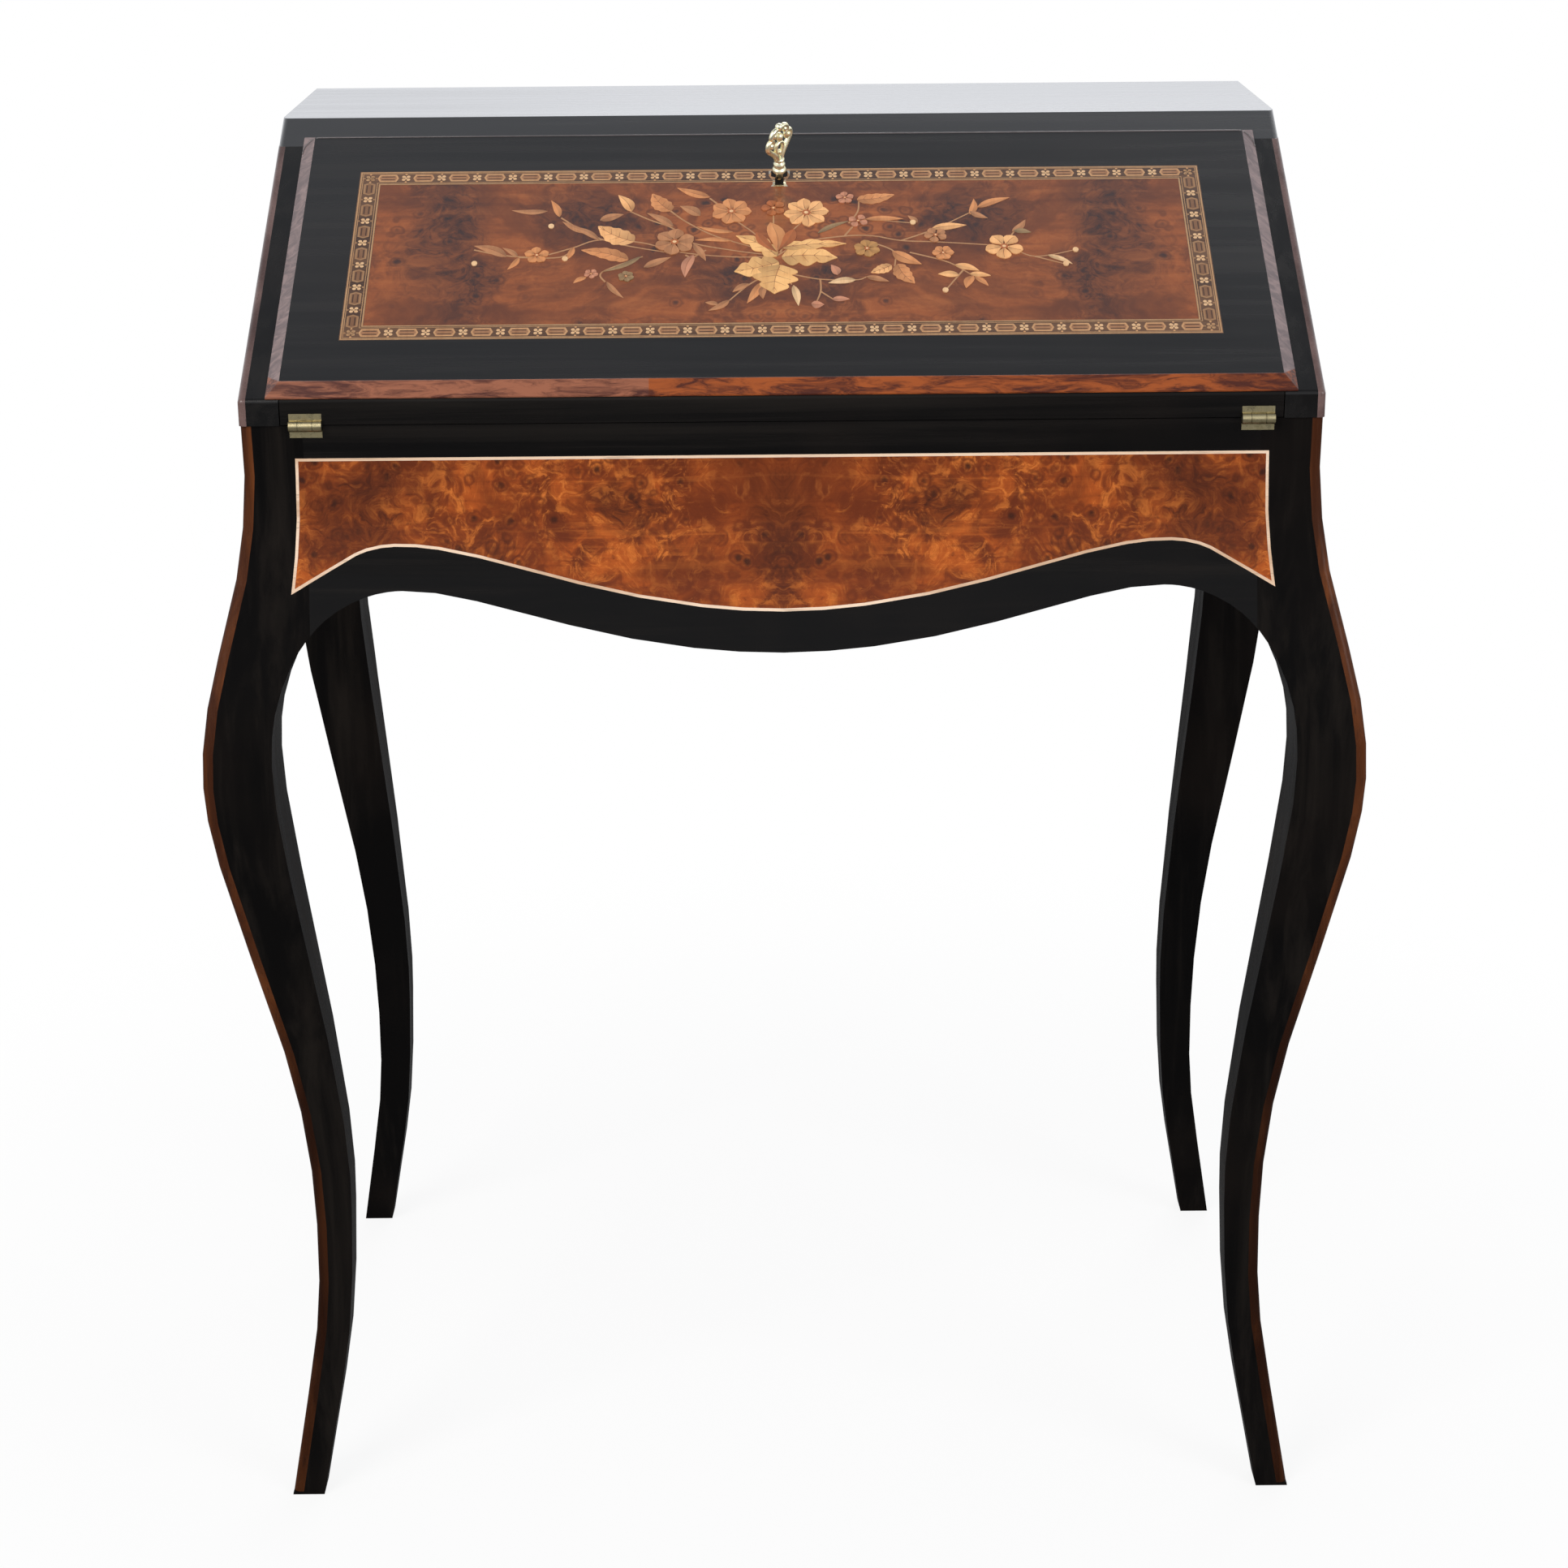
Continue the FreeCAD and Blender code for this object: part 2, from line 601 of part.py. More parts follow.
def make_legs():
    """Four cabriole legs sawn from square stock, each with a rosewood strip in its outer corner."""
    post = size["post_width"]
    reach = REACH
    corner = block(LEG_X - post, reach, -reach, -LEG_Y + post, 0, BED)
    wide_corner = block(0, reach, -reach, 0, 0, CREST - size["front_apron_dip"])
    blank = FRONT_FORM.common(SIDE_FORM).cut(FRONT_VOID).cut(SIDE_VOID)
    leg = blank.common(corner.fuse(wide_corner))
    leg = max(leg.Solids, key=lambda solid: solid.Volume)
    leg = leg.cut(strip_seat(leg))
    strip = corner_strip()
    leg = leg.cut(FRONT_INLAY).cut(RIGHT_INLAY).cut(hinge_frame_seat(1))
    leg = max(leg.Solids, key=lambda solid: solid.Volume)
    back_leg = blank.common(corner.fuse(wide_corner))
    back_leg = max(back_leg.Solids, key=lambda solid: solid.Volume)
    back_leg = max(back_leg.cut(RIGHT_INLAY).Solids, key=lambda solid: solid.Volume)
    back_leg = back_leg.cut(strip_seat(back_leg))
    back_leg = mirrored(max(back_leg.Solids, key=lambda solid: solid.Volume), Y_AXIS)
    formed("front_right_leg", leg)
    formed("front_left_leg", mirrored(leg, X_AXIS))
    formed("back_right_leg", back_leg)
    formed("back_left_leg", mirrored(back_leg, X_AXIS))
    back_strip = mirrored(strip, Y_AXIS)
    strips = [strip, mirrored(strip, X_AXIS), back_strip, mirrored(back_strip, X_AXIS)]
    formed("leg_corner_strips", Part.makeCompound(strips))


def corner_strip():
    """Strip in a leg's outer corner, drawn through level sections that follow the leg's outline."""
    wide = size["strip_width"]
    round_in = size["strip_round"]
    outline = [Vector(-wide, wide, 0), Vector(0, wide, 0)]
    for chord in range(ARRIS_CHORDS + 1):
        turn = math.pi / 2 * chord / ARRIS_CHORDS
        outline.append(Vector(-round_in * (1 - math.cos(turn)), round_in * (1 - math.sin(turn)), 0))
    outline.append(Vector(-wide, 0, 0))
    sections = []
    for place in LEG_LINE:
        corner = Vector(LEG_X + place.x, -LEG_Y - place.x, place.z)
        points = [corner + point for point in outline]
        sections.append(Part.makePolygon(points + points[:1]))
    strip = Part.makeLoft(sections, True, True)
    return strip.cut(block(0, REACH, -REACH, 0, -size["overrun"], size["strip_lift"])).Solids[0]


def strip_seat(leg):
    """The square rebate that a corner strip fills."""
    seat = leg.cut(through(silhouette(LEG_X, size["strip_width"]), "Y"))
    seat = seat.cut(through(silhouette(LEG_Y, size["strip_width"]), "X"))
    return seat.cut(block(0, REACH, -REACH, 0, -size["overrun"], size["strip_lift"]))


def make_aprons():
    """Four aprons whose faces swell with the legs, with a scalloped lower edge."""
    post = size["post_width"]
    thick = size["apron_thickness"]
    low = CREST - size["front_apron_dip"] - size["overrun"]
    front_room = block(-LEG_X + post, LEG_X - post, -REACH, -LEG_Y + thick, low, BED)
    front = SIDE_FORM.common(front_room).cut(FRONT_VOID)
    back = mirrored(front, Y_AXIS)
    side_room = block(LEG_X - thick, REACH, -LEG_Y + post, LEG_Y - post, low, BED)
    right = FRONT_FORM.common(side_room).cut(SIDE_VOID).cut(RIGHT_INLAY)
    front = front.cut(FRONT_INLAY)
    for x_sign in (-1, 1):
        front = front.cut(hinge_frame_seat(x_sign))
    formed("front_apron", front.Solids[0])
    formed("back_apron", back.Solids[0])
    formed("right_apron", right.Solids[0])
    formed("left_apron", mirrored(right.Solids[0], X_AXIS))
    formed("front_burl_panel", FRONT_BURL.Solids[0])
    formed("front_stringing", FRONT_STRING.Solids[0])
    for label, shape in (("side_burl_panels", RIGHT_BURL), ("side_stringings", RIGHT_STRING)):
        inlaid = shape.Solids[0]
        formed(label, Part.makeCompound([inlaid, mirrored(inlaid, X_AXIS)]))


# Hinges


def hinge_span(x_sign):
    """The hinge's outer and inner ends along X, on one side."""
    outer = HALF_WIDTH - size["hinge_inset"]
    ends = (x_sign * outer, x_sign * (outer - size["hinge_width"]))
    return min(ends), max(ends)


def knuckle(x0, x1, radius):
    return cross_rod(HINGE.y, HINGE.z, radius, x0, x1)


def knuckle_notch(x_sign):
    """Room for the whole barrel in the wood round it."""
    low, high = hinge_span(x_sign)
    play = size["hinge_seat_play"]
    return knuckle(low - play, high + play, size["hinge_round"] + play)


def hinge_frame_plates(x_sign, grow=0):
    """Leaf on the apron's top edge and lip down its front."""
    low, high = hinge_span(x_sign)
    thick = size["leaf_thickness"]
    leaf = block(low, high, HINGE.y, HINGE.y + size["leaf_length"] + grow, BED - thick, BED + grow)
    face = -LEG_Y
    lip = block(low, high, face - size["hinge_seat_play"] - grow, face + thick, BED - size["lip_height"], BED)
    return leaf.fuse(lip)


def hinge_frame_seat(x_sign):
    """What the frame leaf and the barrel take out of the apron."""
    return hinge_frame_plates(x_sign, size["overrun"]).fuse(knuckle_notch(x_sign))


def hinge_fall_plates(x_sign, grow=0):
    """Leaf on the fall's inner face and lip up its nose."""
    low, high = hinge_span(x_sign)
    thick = size["leaf_thickness"]
    leaf = Part.makeBox(high - low, size["leaf_length"] + grow, thick + grow, Vector(low, 0, -grow))
    leaf.Placement = Placement(HINGE, SLOPE_TURN)
    face = -HALF_DEPTH
    lip = block(low, high, face - size["hinge_seat_play"] - grow, face + thick, BED, BED + size["lip_height"])
    lower = side_prism(
        [(HINGE.y - REACH * math.cos(SLOPE), HINGE.z - REACH * math.sin(SLOPE)),
         (HINGE.y + REACH * math.cos(SLOPE), HINGE.z + REACH * math.sin(SLOPE)),
         (HINGE.y + REACH, HINGE.z - REACH), (HINGE.y - REACH, HINGE.z - REACH)], low, high)
    return Part.Shape(leaf).fuse(lip.cut(lower))


def make_hinges():
    """Two butt hinges with three knuckles, let in flush."""
    radius = size["hinge_round"]
    play = size["hinge_knuckle_play"]
    bore_radius = size["hinge_pin_round"] + size["hinge_pin_play"]
    frame_leaves = []
    fall_leaves = []
    for x_sign in (-1, 1):
        low, high = hinge_span(x_sign)
        middle = (low + high) / 2
        near = middle - size["hinge_middle"] / 2
        far = middle + size["hinge_middle"] / 2
        bore = knuckle(low - play, high + play, bore_radius)
        frame_leaf = hinge_frame_plates(x_sign)
        for x0, x1 in ((low - play, near), (far, high + play)):
            frame_leaf = frame_leaf.cut(knuckle(x0, x1, radius + play))
        frame_leaf = frame_leaf.fuse(knuckle(near + play, far - play, radius)).cut(bore)
        fall_leaf = hinge_fall_plates(x_sign).cut(knuckle(near - play, far + play, radius + play))
        for x0, x1 in ((low, near - play), (far + play, high)):
            fall_leaf = fall_leaf.fuse(knuckle(x0, x1, radius))
        fall_leaf = fall_leaf.cut(bore)
        frame_leaves.append(frame_leaf.Solids[0])
        fall_leaves.append(fall_leaf.Solids[0])
    formed("hinge_frame_leaves", Part.makeCompound(frame_leaves))
    formed("hinge_fall_leaves", Part.makeCompound(fall_leaves))
    pin = doc.addObject("Part::Cylinder", "right_hinge_pin")
    pin.Placement = Placement(Vector(0, 0, 0), Rotation(Y_AXIS, 90))
    pin.setExpression("Radius", spelled("{hinge_pin_round}"))
    pin.setExpression("Height", spelled("{hinge_width}"))
    pin.setExpression("Placement.Base.x", spelled("{half_width} - {hinge_inset} - {hinge_width}"))
    pin.setExpression("Placement.Base.y", spelled("-{half_depth} - {hinge_proud}"))
    pin.setExpression("Placement.Base.z", spelled("{bed}"))
    keep("hinge_pins", group_of("hinge_pins", [pin, mirror_of("left_hinge_pin", pin, X_AXIS)]))


# Writing case


def make_case():
    """Cheeks, top and back, then the rail and the writing bed."""
    outline = [
        ("-{half_depth}", "{bed}"), ("-{half_depth}", "{nose_top}"), ("{under_front}", "{top_under}"),
        ("{half_depth}", "{top_under}"), ("{half_depth}", "{bed}"),
    ]
    for side, start in (("left", "-{half_width}"), ("right", "{inner_half}")):
        board_body = padded(side + "_cheek_board", "YZ_Plane", outline, "{cheek_thickness}", start)
        round_edges(board_body, nose_arris, "{nose_round}")
        make_cheek(side, board_body)
    top_outline = [
        ("{under_front}", "{top_under}"), ("{top_front}", "{top}"),
        ("{half_depth}", "{top}"), ("{half_depth}", "{top_under}"),
    ]
    top = padded("case_top", "YZ_Plane", top_outline, "{case_width}", "-{half_width}")
    round_edges(top, top_corner, "{top_round}")
    keep("case_top", top)
    keep("case_back", board("case_back", ("-{inner_half}", "{inner_half}"), ("{back_y}", "{half_depth}"),
                            ("{bed}", "{top_under}")))
    make_top_rail()
    make_bed()


def nose_arris(edge, middle):
    return abs(middle.y + HALF_DEPTH) < size["bed_gap"] and abs(middle.z - NOSE_TOP) < size["bed_gap"]


def top_corner(edge, middle):
    slanted = middle.y < TOP_FRONT and TOP_UNDER < middle.z < TOP
    return slanted and edge.Length < size["case_width"] / 2


def make_cheek(side, board_body):
    """A cheek with rosewood edging let into its outer arris, down the slope and round the nose."""
    lean = "{edging_width} / cos({slope})"
    corners = [
        ("-{half_depth}", "{bed}"), ("-{half_depth}", "{nose_top}"), ("{under_front}", "{top_under}"),
        ("{under_front} + " + lean + " / tan({slope})", "{top_under}"),
        ("-{half_depth} + {edging_width}", "{nose_top} - " + lean + " + {edging_width} * tan({slope})"),
        ("-{half_depth} + {edging_width}", "{bed}"),
    ]
    start = "-{half_width}" if side == "left" else "{half_width} - {edging_width}"
    room = padded(side + "_edging_room", "YZ_Plane", corners, "{edging_width}", start)
    keep(side + "_cheek", cut_from(side + "_cheek", board_body, room))
    blank = doc.addObject("Part::Common", side + "_edging_blank")
    blank.Base = board_body
    blank.Tool = room
    doc.recompute()
    outer = -HALF_WIDTH if side == "left" else HALF_WIDTH
    edging = blank.Shape.Solids[0]
    arris = [edge for edge in edging.Edges if on_outer_arris(edge, outer)]
    formed(side + "_cheek_edging", edging.makeFillet(size["edging_round"], arris))


def on_outer_arris(edge, outer):
    """True for an edge in the cheek's outer side that lies on its slope or its nose."""
    near = size["bed_gap"]
    box = edge.BoundBox
    if abs(box.XMin - outer) > near or abs(box.XMax - outer) > near:
        return False
    middle = edge.valueAt((edge.FirstParameter + edge.LastParameter) / 2)
    on_slope = (middle - NOSE).dot(OUT_SLOPE) > -near
    on_nose = middle.y < -HALF_DEPTH + size["nose_round"]
    long_enough = edge.Length > size["edging_round"] / 2
    return (on_slope or on_nose) and long_enough and middle.z > BED + near


def make_top_rail():
    """Rail under the top's front edge, in two lengths with a gap for the bolt behind its plate."""
    low_y = "-{half_depth} + {rail_face} * cos({slope}) + {rail_drop} * sin({slope})"
    low_z = "{nose_top} + {rail_face} * sin({slope}) - {rail_drop} * cos({slope})"
    back = "{under_front} + {rail_depth}"
    gap = "({bolt_width} / 2 + {strike_play})"
    outline = [("{under_front}", "{top_under}"), (low_y, low_z), (back, low_z), (back, "{top_under}")]
    rail = padded("top_rail_board", "YZ_Plane", outline, "{inner_half} - " + gap, gap)
    bolt_low = "-{fall_thickness} + {lock_wall} + {bolt_play}"
    middle = bolt_low + " + {bolt_thickness} / 2"
    plate = fall_slab("striking_plate_blank", ("-{strike_width} / 2", "{strike_width} / 2"),
                      ("{rail_face}", "{rail_face} + {strike_thickness}"),
                      (middle + " - {strike_height} / 2", middle + " + {strike_height} / 2"))
    slot = fall_slab("bolt_slot", ("-" + gap, gap), ("{fall_end}", "{fall_end} + {bolt_throw} + {overrun}"),
                     (bolt_low + " - {strike_play}", bolt_low + " + {bolt_thickness} + {strike_play}"))
    right = cut_from("right_top_rail", rail, plate)
    keep("case_top_rail", group_of("case_top_rail", [right, mirror_of("left_top_rail", right, X_AXIS)]))
    keep("lock_striking_plate", cut_from("lock_striking_plate", plate, slot))


def make_bed():
    """Writing bed notched round the legs' heads, on two cleats, and four corner blocks."""
    half_x = "({leg_x} - {apron_thickness} - {bed_gap})"
    half_y = "({leg_y} - {apron_thickness} - {bed_gap})"
    notch_x = "({leg_x} - {post_width} - {bed_gap})"
    notch_y = "({leg_y} - {post_width} - {bed_gap})"
    under = "({bed} - {bed_thickness})"
    sheet_board = board("bed_blank", ("-" + half_x, half_x), ("-" + half_y, half_y), (under, "{bed}"))
    notch = board("bed_notch", (notch_x, half_x + " + {overrun}"), (notch_y, half_y + " + {overrun}"),
                  (under + " - {overrun}", "{bed} + {overrun}"))
    keep("writing_bed", cut_from("writing_bed", sheet_board, four_corners("bed_notches", notch)))
    wall_x = "({leg_x} - {apron_thickness})"
    wall_y = "({leg_y} - {apron_thickness})"
    post_x = "({leg_x} - {post_width})"
    post_y = "({leg_y} - {post_width})"
    corners = [(post_x, wall_y), (post_x + " - {block_reach}", wall_y), (wall_x, post_y + " - {block_reach}"),
               (wall_x, post_y), (post_x, post_y)]
    wedge = padded("corner_block", "XY_Plane", corners, "{block_height}")
    wedge.setExpression("Placement.Base.z", spelled(under + " - {block_height}"))
    keep("corner_blocks", four_corners("corner_blocks", wedge))
    cleat_end = "(" + post_x + " - {block_reach})"
    cleat = board("back_cleat", ("-" + cleat_end, cleat_end), (wall_y + " - {cleat_size}", wall_y),
                  (under + " - {cleat_size}", under))
    keep("bed_cleats", group_of("bed_cleats", [cleat, mirror_of("front_cleat", cleat, Y_AXIS)]))


def four_corners(name, piece):
    """A piece of the desk's back right corner and its images in the other three."""
    left = mirror_of(name + "_left", piece, X_AXIS)
    front = mirror_of(name + "_front", piece, Y_AXIS)
    front_left = mirror_of(name + "_front_left", front, X_AXIS)
    return group_of(name, [piece, left, front, front_left])


# Fall


def bolt_layer():
    """Depths between which the bolt slides, measured out of the fall's face."""
    low = -FALL_THICKNESS + size["lock_wall"] + size["bolt_play"]
    return low, low + size["bolt_thickness"]


def keyhole(out0, out1):
    """Round hole with a slot down the slope."""
    half = size["keyhole_slot"] / 2
    slot = fall_block(-half, half, KEY_UP - size["keyhole_drop"], KEY_UP, out0, out1)
    return fall_rod(KEY_UP, size["keyhole_round"], out0, out1).fuse(slot)


def lock_room(grow):
    """The lock's outer box, or its mortise when grown by the play."""
    half = size["lock_width"] / 2 + grow
    return fall_block(-half, half, KEY_UP - size["lock_below"] - grow, FALL_END + grow,
                      -FALL_THICKNESS - grow, -FALL_THICKNESS + size["lock_depth"] + grow)


def make_fall():
    """Board of the fall with its nose, its mortises and its seats."""
    nose_low = "{bed} + {hinge_proud} * tan({slope})"
    end_y = "-{half_depth} + {fall_end} * cos({slope})"
    end_z = "{nose_top} + {fall_end} * sin({slope})"
    profile = [
        ("-{half_depth}", nose_low), ("-{half_depth}", "{nose_top}"), (end_y, end_z),
        (end_y + " + {fall_thickness} * sin({slope})", end_z + " - {fall_thickness} * cos({slope})"),
    ]
    blank = padded("fall_blank", "YZ_Plane", profile, "2 * {fall_half}", "-{fall_half}")
    round_edges(blank, nose_arris, "{nose_round}")
    tools = [tool_of("lock_mortise", lock_room(size["lock_play"])),
             tool_of("fall_keyhole", keyhole(-FALL_THICKNESS, size["overrun"])),
             leather_slab("leather_recess", "{overrun}")]
    for side, x_sign in (("left", -1), ("right", 1)):
        tools.append(tool_of(side + "_knuckle_notch", knuckle_notch(x_sign)))
        tools.append(tool_of(side + "_fall_leaf_seat", hinge_fall_plates(x_sign, size["overrun"])))
    keep("fall_board", cut_from("fall_board", blank, *tools))
    keep("writing_leather", leather_slab("writing_leather", "0"))
    make_raised_panel()
    make_bevels()


def leather_slab(name, grow):
    """Writing leather on the fall's inner face, or its recess when grown outward."""
    half = "({fall_half} - {leather_side_margin})"
    return fall_slab(name, ("-" + half, half), ("{leather_low_margin}", "{fall_end} - {leather_high_margin}"),
                     ("-{fall_thickness} - " + grow, "-{fall_thickness} + {leather_thickness}"))


def marquetry_slab(name, inset, grow):
    """Sheet of marquetry in the raised panel's face, less an inset all round."""
    half = "({fall_half} - {marquetry_side_margin} - %s)" % inset
    return fall_slab(name, ("-" + half, half),
                     ("{panel_low} + {marquetry_low_margin} + " + inset,
                      "{fall_end} - {marquetry_high_margin} - " + inset),
                     ("{panel_thickness} - {marquetry_depth}", "{panel_thickness} + " + grow))


def make_raised_panel():
    """Ebonised panel with its marquetry, border and keyhole plate let in flush."""
    panel = fall_slab("raised_panel_board", ("-{fall_half}", "{fall_half}"), ("{panel_low}", "{fall_end}"),
                      ("0", "{panel_thickness}"))
    recess = marquetry_slab("marquetry_recess", "0", "{overrun}")
    plate_seat = tool_of("escutcheon_seat", escutcheon_blank(size["overrun"]))
    hole = tool_of("panel_keyhole", keyhole(-size["overrun"], size["panel_thickness"]))
    keep("fall_raised_panel", cut_from("fall_raised_panel", panel, recess, plate_seat, hole))
    field = marquetry_slab("marquetry_sheet", "{border_width}", "0")
    keep("marquetry_field", cut_from("marquetry_field", field, plate_seat))
    border = marquetry_slab("marquetry_border_sheet", "0", "0")
    middle = marquetry_slab("marquetry_border_middle", "{border_width}", "{overrun}")
    keep("marquetry_border", cut_from("marquetry_border", border, middle, plate_seat))
    plate = escutcheon_blank(0).cut(keyhole(0, size["panel_thickness"] + size["overrun"]))
    formed("keyhole_escutcheon", plate.Solids[0])


def make_bevels():
    """Four mitred strips round the raised panel, which lap over the cheeks and the top."""
    wide = size["bevel_width"]
    low_out = size["lip_gap"]
    edge_out = low_out + size["bevel_edge"]
    high_out = size["panel_thickness"]
    inner = [(-FALL_HALF, PANEL_LOW), (FALL_HALF, PANEL_LOW), (FALL_HALF, FALL_END), (-FALL_HALF, FALL_END)]
    x_out = FALL_HALF + wide
    low_end = PANEL_LOW - wide
    high_end = FALL_END + wide
    outer = [(-x_out, low_end), (x_out, low_end), (x_out, high_end), (-x_out, high_end)]
    strips = []
    for index in range(4):
        ends = []
        for corner in (index, (index + 1) % 4):
            inside = inner[corner]
            outside = outer[corner]
            ends.append([
                on_fall(inside[0], inside[1], low_out), on_fall(outside[0], outside[1], low_out),
                on_fall(outside[0], outside[1], edge_out), on_fall(inside[0], inside[1], high_out),
            ])
        wires = [Part.makePolygon(points + points[:1]) for points in ends]
        strips.append(Part.makeLoft(wires, True, True))
    formed("bevel_strips", Part.makeCompound(strips))


def escutcheon_blank(grow):
    """Stepped outline of the keyhole plate, without its hole."""
    head = size["escutcheon_width"] / 2
    foot = size["escutcheon_foot"] / 2
    lap = head - foot
    low = KEY_UP - size["escutcheon_drop"]
    high = low + size["escutcheon_length"]
    step = high - size["escutcheon_head"]
    corners = [(-head + lap / 2, low), (head - lap / 2, low), (foot, low + lap), (foot, step), (head, step + lap),
               (head, high), (-head, high), (-head, step + lap), (-foot, step), (-foot, low + lap)]
    out = size["panel_thickness"]
    return fall_prism(corners, out - size["escutcheon_thickness"], out + grow)


def make_lock():
    """Fall lock: a sheet case let into the inner face, with a bolt that slides up the slope."""
    wall = size["lock_wall"]
    play = size["bolt_play"]
    low, high = bolt_layer()
    half = size["bolt_width"] / 2
    bolt_end = FALL_END - size["bolt_setback"]
    bolt_low = bolt_end - size["bolt_length"]
    case = lock_room(0)
    lock_top = -FALL_THICKNESS + size["lock_depth"]
    cavity_top = lock_top - wall
    channel = fall_block(-half - play, half + play, bolt_low - play, FALL_END + size["overrun"],
                         low - play, high + play)
    room = size["lock_below"] - wall
    ward_room = fall_block(-room, room, KEY_UP - room, KEY_UP + room, low - play, cavity_top)
    tail_half = size["tail_width"] / 2
    tail_low = KEY_UP - size["lock_below"] + wall + play
    tail_room = fall_block(-tail_half - play, tail_half + play, tail_low - play, bolt_low + size["overrun"],
                           cavity_top - size["tail_thickness"] - 2 * play, cavity_top)
    case = case.cut(channel).cut(ward_room).cut(tail_room)
    case = case.cut(keyhole(cavity_top - play, lock_top + size["overrun"]))
    formed("lock_case", case.Solids[0])
    bolt = fall_block(-half, half, bolt_low, bolt_end, low, high)
    tail_top = cavity_top - play
    tail = fall_block(-tail_half, tail_half, tail_low, bolt_low + tail_half,
                      tail_top - size["tail_thickness"], tail_top)
    slot_half = size["tail_slot"] / 2
    slot = fall_block(-slot_half, slot_half, tail_low - size["overrun"], KEY_UP + slot_half, -FALL_THICKNESS, 0)
    formed("lock_bolt", bolt.fuse(tail.cut(slot)).removeSplitter().Solids[0])


def make_key():
    """Brass key: shank, bit inside the lock, collar and a pierced bow."""
    low = bolt_layer()[0]
    bit_low = low + size["bolt_play"]
    collar_low = size["panel_thickness"] + size["collar_start"]
    bow_low = collar_low + size["collar_height"]
    shank = fall_rod(KEY_UP, size["key_round"], bit_low, bow_low + size["bow_rim"])
    bit = fall_block(-size["key_bit_width"] / 2, size["key_bit_width"] / 2, KEY_UP - size["key_bit_reach"], KEY_UP,
                     bit_low, bit_low + size["key_bit_length"])
    collar = fall_rod(KEY_UP, size["collar_round"], collar_low, bow_low)
    key = shank.fuse([bit, collar, key_bow(bow_low)]).removeSplitter()
    key.rotate(on_fall(0, KEY_UP, 0), OUT_SLOPE, 360 * KEY_TURN_SHARE)
    formed("key", key.Solids[0])


def bow_strut(start, end):
    """A straight bar of the bow between two places given up the slope and out of the fall."""
    half = size["bow_rim"] / 2
    thick = size["bow_thickness"] / 2
    corners = [(start[0] - half, start[1]), (start[0] + half, start[1]),
               (end[0] + half, end[1]), (end[0] - half, end[1])]
    points = [on_fall(-thick, KEY_UP + reach, out) for reach, out in corners]
    return Part.Face(Part.makePolygon(points + points[:1])).extrude(X_AXIS * size["bow_thickness"])


def key_bow(start):
    """Pierced bow in the plane of the bit: two side scrolls, a crown, and the bars between them."""
    thick = size["bow_thickness"]
    lobe = size["bow_lobe_round"]
    reach = size["bow_width"] / 2 - lobe
    crown = size["bow_crown_round"]
    lobe_out = start + BOW_LOBE_SHARE * size["bow_height"]
    crown_out = start + size["bow_height"] - crown
    discs = []
    holes = []
    for place, out, radius in ((-reach, lobe_out, lobe), (reach, lobe_out, lobe), (0, crown_out, crown)):
        centre = on_fall(-thick / 2, KEY_UP + place, out)
        discs.append(Part.makeCylinder(radius, thick, centre, X_AXIS))
        if radius - size["bow_rim"] > size["bow_rim"] / 2:
            holes.append(Part.makeCylinder(radius - size["bow_rim"], thick, centre, X_AXIS))
    bars = []
    for side in (-1, 1):
        bars.append(bow_strut((0, start), (side * reach, lobe_out)))
        bars.append(bow_strut((side * reach, lobe_out), (0, crown_out)))
    solid = discs[0].fuse(discs[1:] + bars)
    return solid.cut(Part.makeCompound(holes)) if holes else solid


# Stays


def stay_places():
    """Pivot on the cheek, elbow and pivot on the fall with the desk shut.

    The two arms lie in one line with the fall open. The lower arm's share of that line
    keeps the elbow's turn nearly in step with the fall's.
    """
    foot = Vector(0, -HALF_DEPTH + size["stay_foot_back"], BED + size["stay_foot_rise"])
    out = HINGE + UP_SLOPE * size["stay_fall_reach"] - OUT_SLOPE * size["stay_fall_depth"]
    open_place = HINGE + Vector(0, -size["stay_fall_reach"], size["stay_fall_depth"])
    span = (open_place - foot).Length
    lower = span * LOWER_ARM_SHARE
    upper = span - lower
    gap = (out - foot).Length
    along = (gap * gap + lower * lower - upper * upper) / (2 * gap)
    aside = math.sqrt(lower * lower - along * along)
    toward = (out - foot) / gap
    elbow = foot + toward * along + Vector(0, toward.z, -toward.y) * aside
    return foot, elbow, out


def stay_arm(start, end, x0, x1, bored_start, bored_end):
    """A flat arm with round ends along X's thickness, bored for a rivet where asked."""
    radius = size["stay_width"] / 2
    flat = end - start
    side = Vector(0, -flat.z, flat.y).normalize() * radius
    points = [start + side, end + side, end - side, start - side]
    bar = side_prism([(point.y, point.z) for point in points], x0, x1)
    arm = bar.fuse([cross_rod(start.y, start.z, radius, x0, x1), cross_rod(end.y, end.z, radius, x0, x1)])
    bore = size["stay_rivet_round"] + size["stay_rivet_play"]
    for place, bored in ((start, bored_start), (end, bored_end)):
        if bored:
            arm = arm.cut(cross_rod(place.y, place.z, bore, x0, x1))
    return arm


